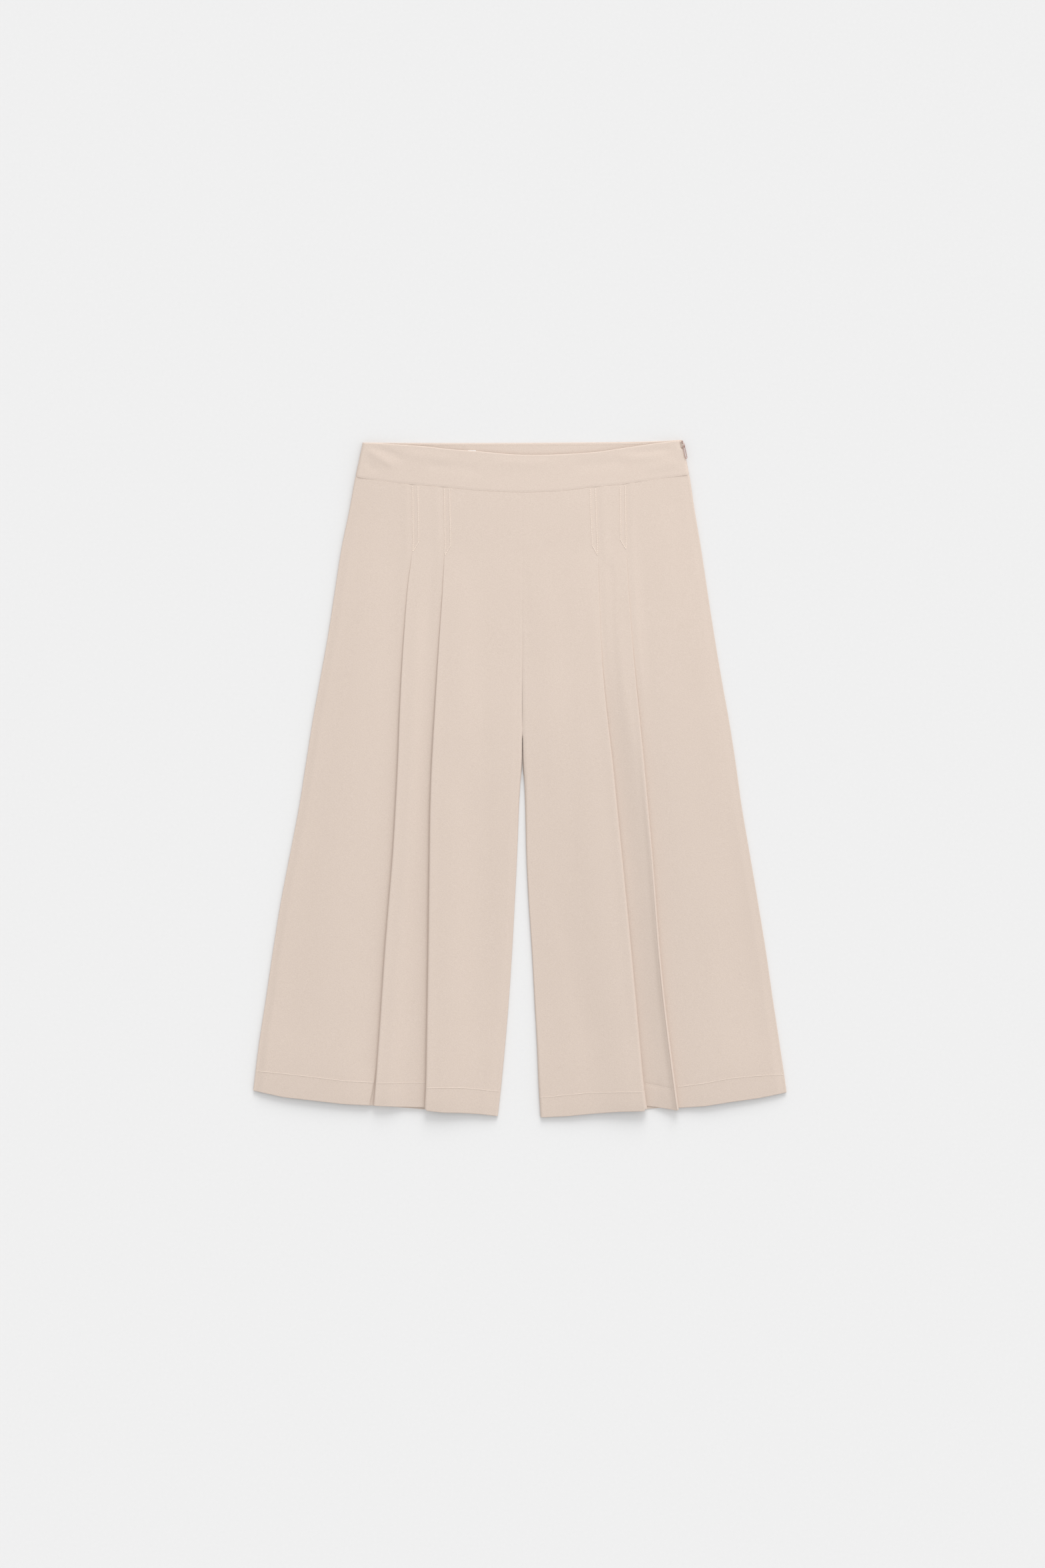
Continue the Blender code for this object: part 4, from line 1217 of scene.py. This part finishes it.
def make_slider():
    """Two plates with a core between them, a bridge over the pull's bar, and a ring."""
    under = PULL_WIRE / 2 + HINGE_CLEARANCE
    face = -under
    back = face - SLIDER_BODY[2]
    lower = -(under + LOWER_END)
    upper = lower + SLIDER_BODY[1]
    half = SLIDER_BODY[0] / 2
    end = upper - PLATE_SHORT
    parts = [
        rounded_block((-half, lower, inner), (half, end, outer), PLATE_TAPER, PLATE_BEVEL)
        for inner, outer in ((face - PLATE, face), (back, back + PLATE))
    ]
    aside, apart, short = CORE_INSET
    core = (-half + aside, lower + apart, back + apart), (half - aside, upper - short, face - apart)
    parts.append(rounded_block(*core, PLATE_TAPER, CORE_BEVEL))
    vertices, faces = join(parts)
    make_mesh("zip_slider_body", to_part(vertices), faces, "shorts", "zip_metal", PALE_ENAMEL,
              ["zip_slider"], 40)
    bridge = [(0, lower + 0.75, face - 0.2), (0, lower + 0.72, under * 0.5),
              (0, lower + 0.95, under + 0.25), (0, 0.1, under + 0.38), (0, 1.6, under + 0.25),
              (0, 2.5, under * 0.4), (0, 2.9, face - 0.1)]
    smooth = np.array([smooth_line([(i, p[k]) for i, p in enumerate(bridge)],
                                   np.linspace(0, len(bridge) - 1, 28)) for k in range(3)]).T
    vertices, faces = join([ring_shape(RING_PLACE, *RING_SIZE),
                            flat_tube(smooth, *BRIDGE_SECTION)])
    make_mesh("zip_slider_bridge", to_part(vertices), faces, "shorts", "zip_metal", ENAMEL,
              ["zip_slider"], 40)


def flat_tube(route, half_width, half_wall, sides=12):
    """A band of oval section along a route in the slider's plane x = 0."""
    along = tangent(route, 0)
    lift = np.cross((1.0, 0, 0), along)
    rings = []
    for angle in angles_round(sides):
        offset = np.array([half_width * math.cos(angle), 0, 0]) + lift * half_wall * math.sin(angle)
        rings.append(route + offset)
    return tube_of(rings)


def make_pull():
    """A teardrop of round wire whose narrow end is the hinge bar under the slider's bridge."""
    half_bar = BRIDGE_WIDTH / 2 + HINGE_CLEARANCE + PULL_WIRE / 2
    round_radius = (PULL_WIDTH - PULL_WIRE) / 2
    round_y = -(PULL_LENGTH - PULL_WIRE / 2 - round_radius)
    bend = half_bar - BAR_BEND[0]
    corners = [(-half_bar, BAR_BEND[1]), (-bend, 0.0), (bend, 0.0), (half_bar, BAR_BEND[1]),
               (half_bar + SHOULDER[0], SHOULDER[1])]
    for angle in np.radians(np.linspace(*TEAR_ARC)):
        corners.append((round_radius * math.cos(angle), round_y + round_radius * math.sin(angle)))
    corners.append((-half_bar - SHOULDER[0], SHOULDER[1]))
    corners = np.array(corners)
    count = len(corners)
    looped = np.concatenate((corners[-3:], corners, corners[:3]))
    places = np.arange(-3, count + 3)
    at = np.linspace(0, count, count * 5, endpoint=False)
    route = np.stack([smooth_line(np.stack((places, looped[:, k]), 1), at) for k in range(2)], 1)
    along = unit(np.roll(route, -1, axis=0) - np.roll(route, 1, axis=0))
    aside = np.stack((along[:, 1], -along[:, 0]), axis=1)
    sides = 12
    vertices = []
    for point, across in zip(route, aside):
        for angle in angles_round(sides):
            offset = across * math.cos(angle) * PULL_WIRE / 2
            vertices.append((*(point + offset), math.sin(angle) * PULL_WIRE / 2))
    faces = loop_faces(len(route), sides)
    make_mesh("zip_pull_enamel", to_part(np.array(vertices)), faces, "pull", "zip_metal", ENAMEL,
              ["zip_pull"], 60)


# The studio ----------------------------------------------------------------------------------


def make_floor():
    nodes = Nodes("floor_paper")
    fine = nodes.noise(nodes.place, 300.0, 2.0, 0.5)
    colour = nodes.blend(nodes.limits(fine, 0.3, 0.7), FLOOR_DARK, FLOOR_LIGHT)
    roughness = nodes.limits(fine, 0.3, 0.7, 0.9, 0.95)
    look = nodes.finish(colour, roughness, fine, 0.02, 0.0001, Specular_IOR_Level=0.1)
    mesh = bpy.data.meshes.new("floor")
    corners = ((-1, -1), (1, -1), (1, 1), (-1, 1))
    mesh.from_pydata([(x * FLOOR_HALF, y * FLOOR_HALF, FLOOR_LEVEL) for x, y in corners],
                     [], [(0, 1, 2, 3)])
    mesh.materials.append(look)
    put("floor", mesh)


def make_light():
    """Even surroundings, a soft sun from the top of the photo, and a pale ground behind."""
    world = bpy.data.worlds.new("studio")
    world.use_nodes = True
    tree = world.node_tree
    place = add_node(tree, "ShaderNodeTexCoord").outputs["Generated"]
    slant = add_node(tree, "ShaderNodeVectorMath", {0: place, 1: WORLD_SLANT},
                     operation="DOT_PRODUCT").outputs["Value"]
    strength = add_node(tree, "ShaderNodeMath", {0: slant, 1: WORLD_LIGHT, 2: WORLD_LIGHT},
                        operation="MULTIPLY_ADD").outputs[0]
    light = tree.nodes["Background"]
    light.inputs["Color"].default_value = (1, 1, 1, 1)
    tree.links.new(strength, light.inputs["Strength"])
    seen = add_node(tree, "ShaderNodeBackground", {"Strength": BACKDROP}).outputs[0]
    by_camera = add_node(tree, "ShaderNodeLightPath").outputs["Is Camera Ray"]
    chosen = add_node(tree, "ShaderNodeMixShader", {"Fac": by_camera, 1: light.outputs[0], 2: seen})
    tree.links.new(chosen.outputs[0], tree.nodes["World Output"].inputs["Surface"])
    bpy.context.scene.world = world
    sun = bpy.data.lights.new("key", "SUN")
    sun.energy = SUN_STRENGTH
    sun.angle = math.radians(SUN_SPREAD)
    lamp = put("key", sun)
    lamp.rotation_mode = "QUATERNION"
    lamp.rotation_quaternion = Vector(SUN_FROM).to_track_quat("Z", "Y")


def make_waist_light(shown):
    """A weak, near light over the waist, which falls on the garment and not on the floor."""
    glow = bpy.data.lights.new("waist_light", "AREA")
    glow.shape = "DISK"
    glow.size = WAIST_LIGHT_SIZE
    glow.energy = WAIST_LIGHT_POWER
    lamp = put("waist_light", glow)
    lamp.location = WAIST_LIGHT_PLACE
    lit = bpy.data.collections.new("lit_by_waist_light")
    for piece in shown:
        lit.objects.link(piece)
    lamp.light_linking.receiver_collection = lit


def make_camera():
    """Straight above the middle of the photo's frame."""
    x = (PHOTO_WIDTH / 2 - ORIGIN_PIXEL[0]) * MM_PER_PIXEL
    y = (ORIGIN_PIXEL[1] - PHOTO_HEIGHT / 2) * MM_PER_PIXEL
    distance = PHOTO_HEIGHT * MM_PER_PIXEL * LENS / SENSOR
    lens = bpy.data.cameras.new("camera")
    lens.lens = LENS
    lens.sensor_width = SENSOR
    camera = put("camera", lens)
    camera.location = (x * MM, y * MM, distance * MM)
    bpy.context.scene.camera = camera


bpy.context.scene.view_settings.view_transform = "Standard"
bpy.context.scene.view_settings.look = "None"
make_camera()
make_light()
make_floor()
cloth_shells, cloth_pieces = make_cloth()
make_stitching(Surface(cloth_shells))
make_label()
make_zip_tape()
make_waist_light(cloth_pieces.values())
make_slider()
make_pull()
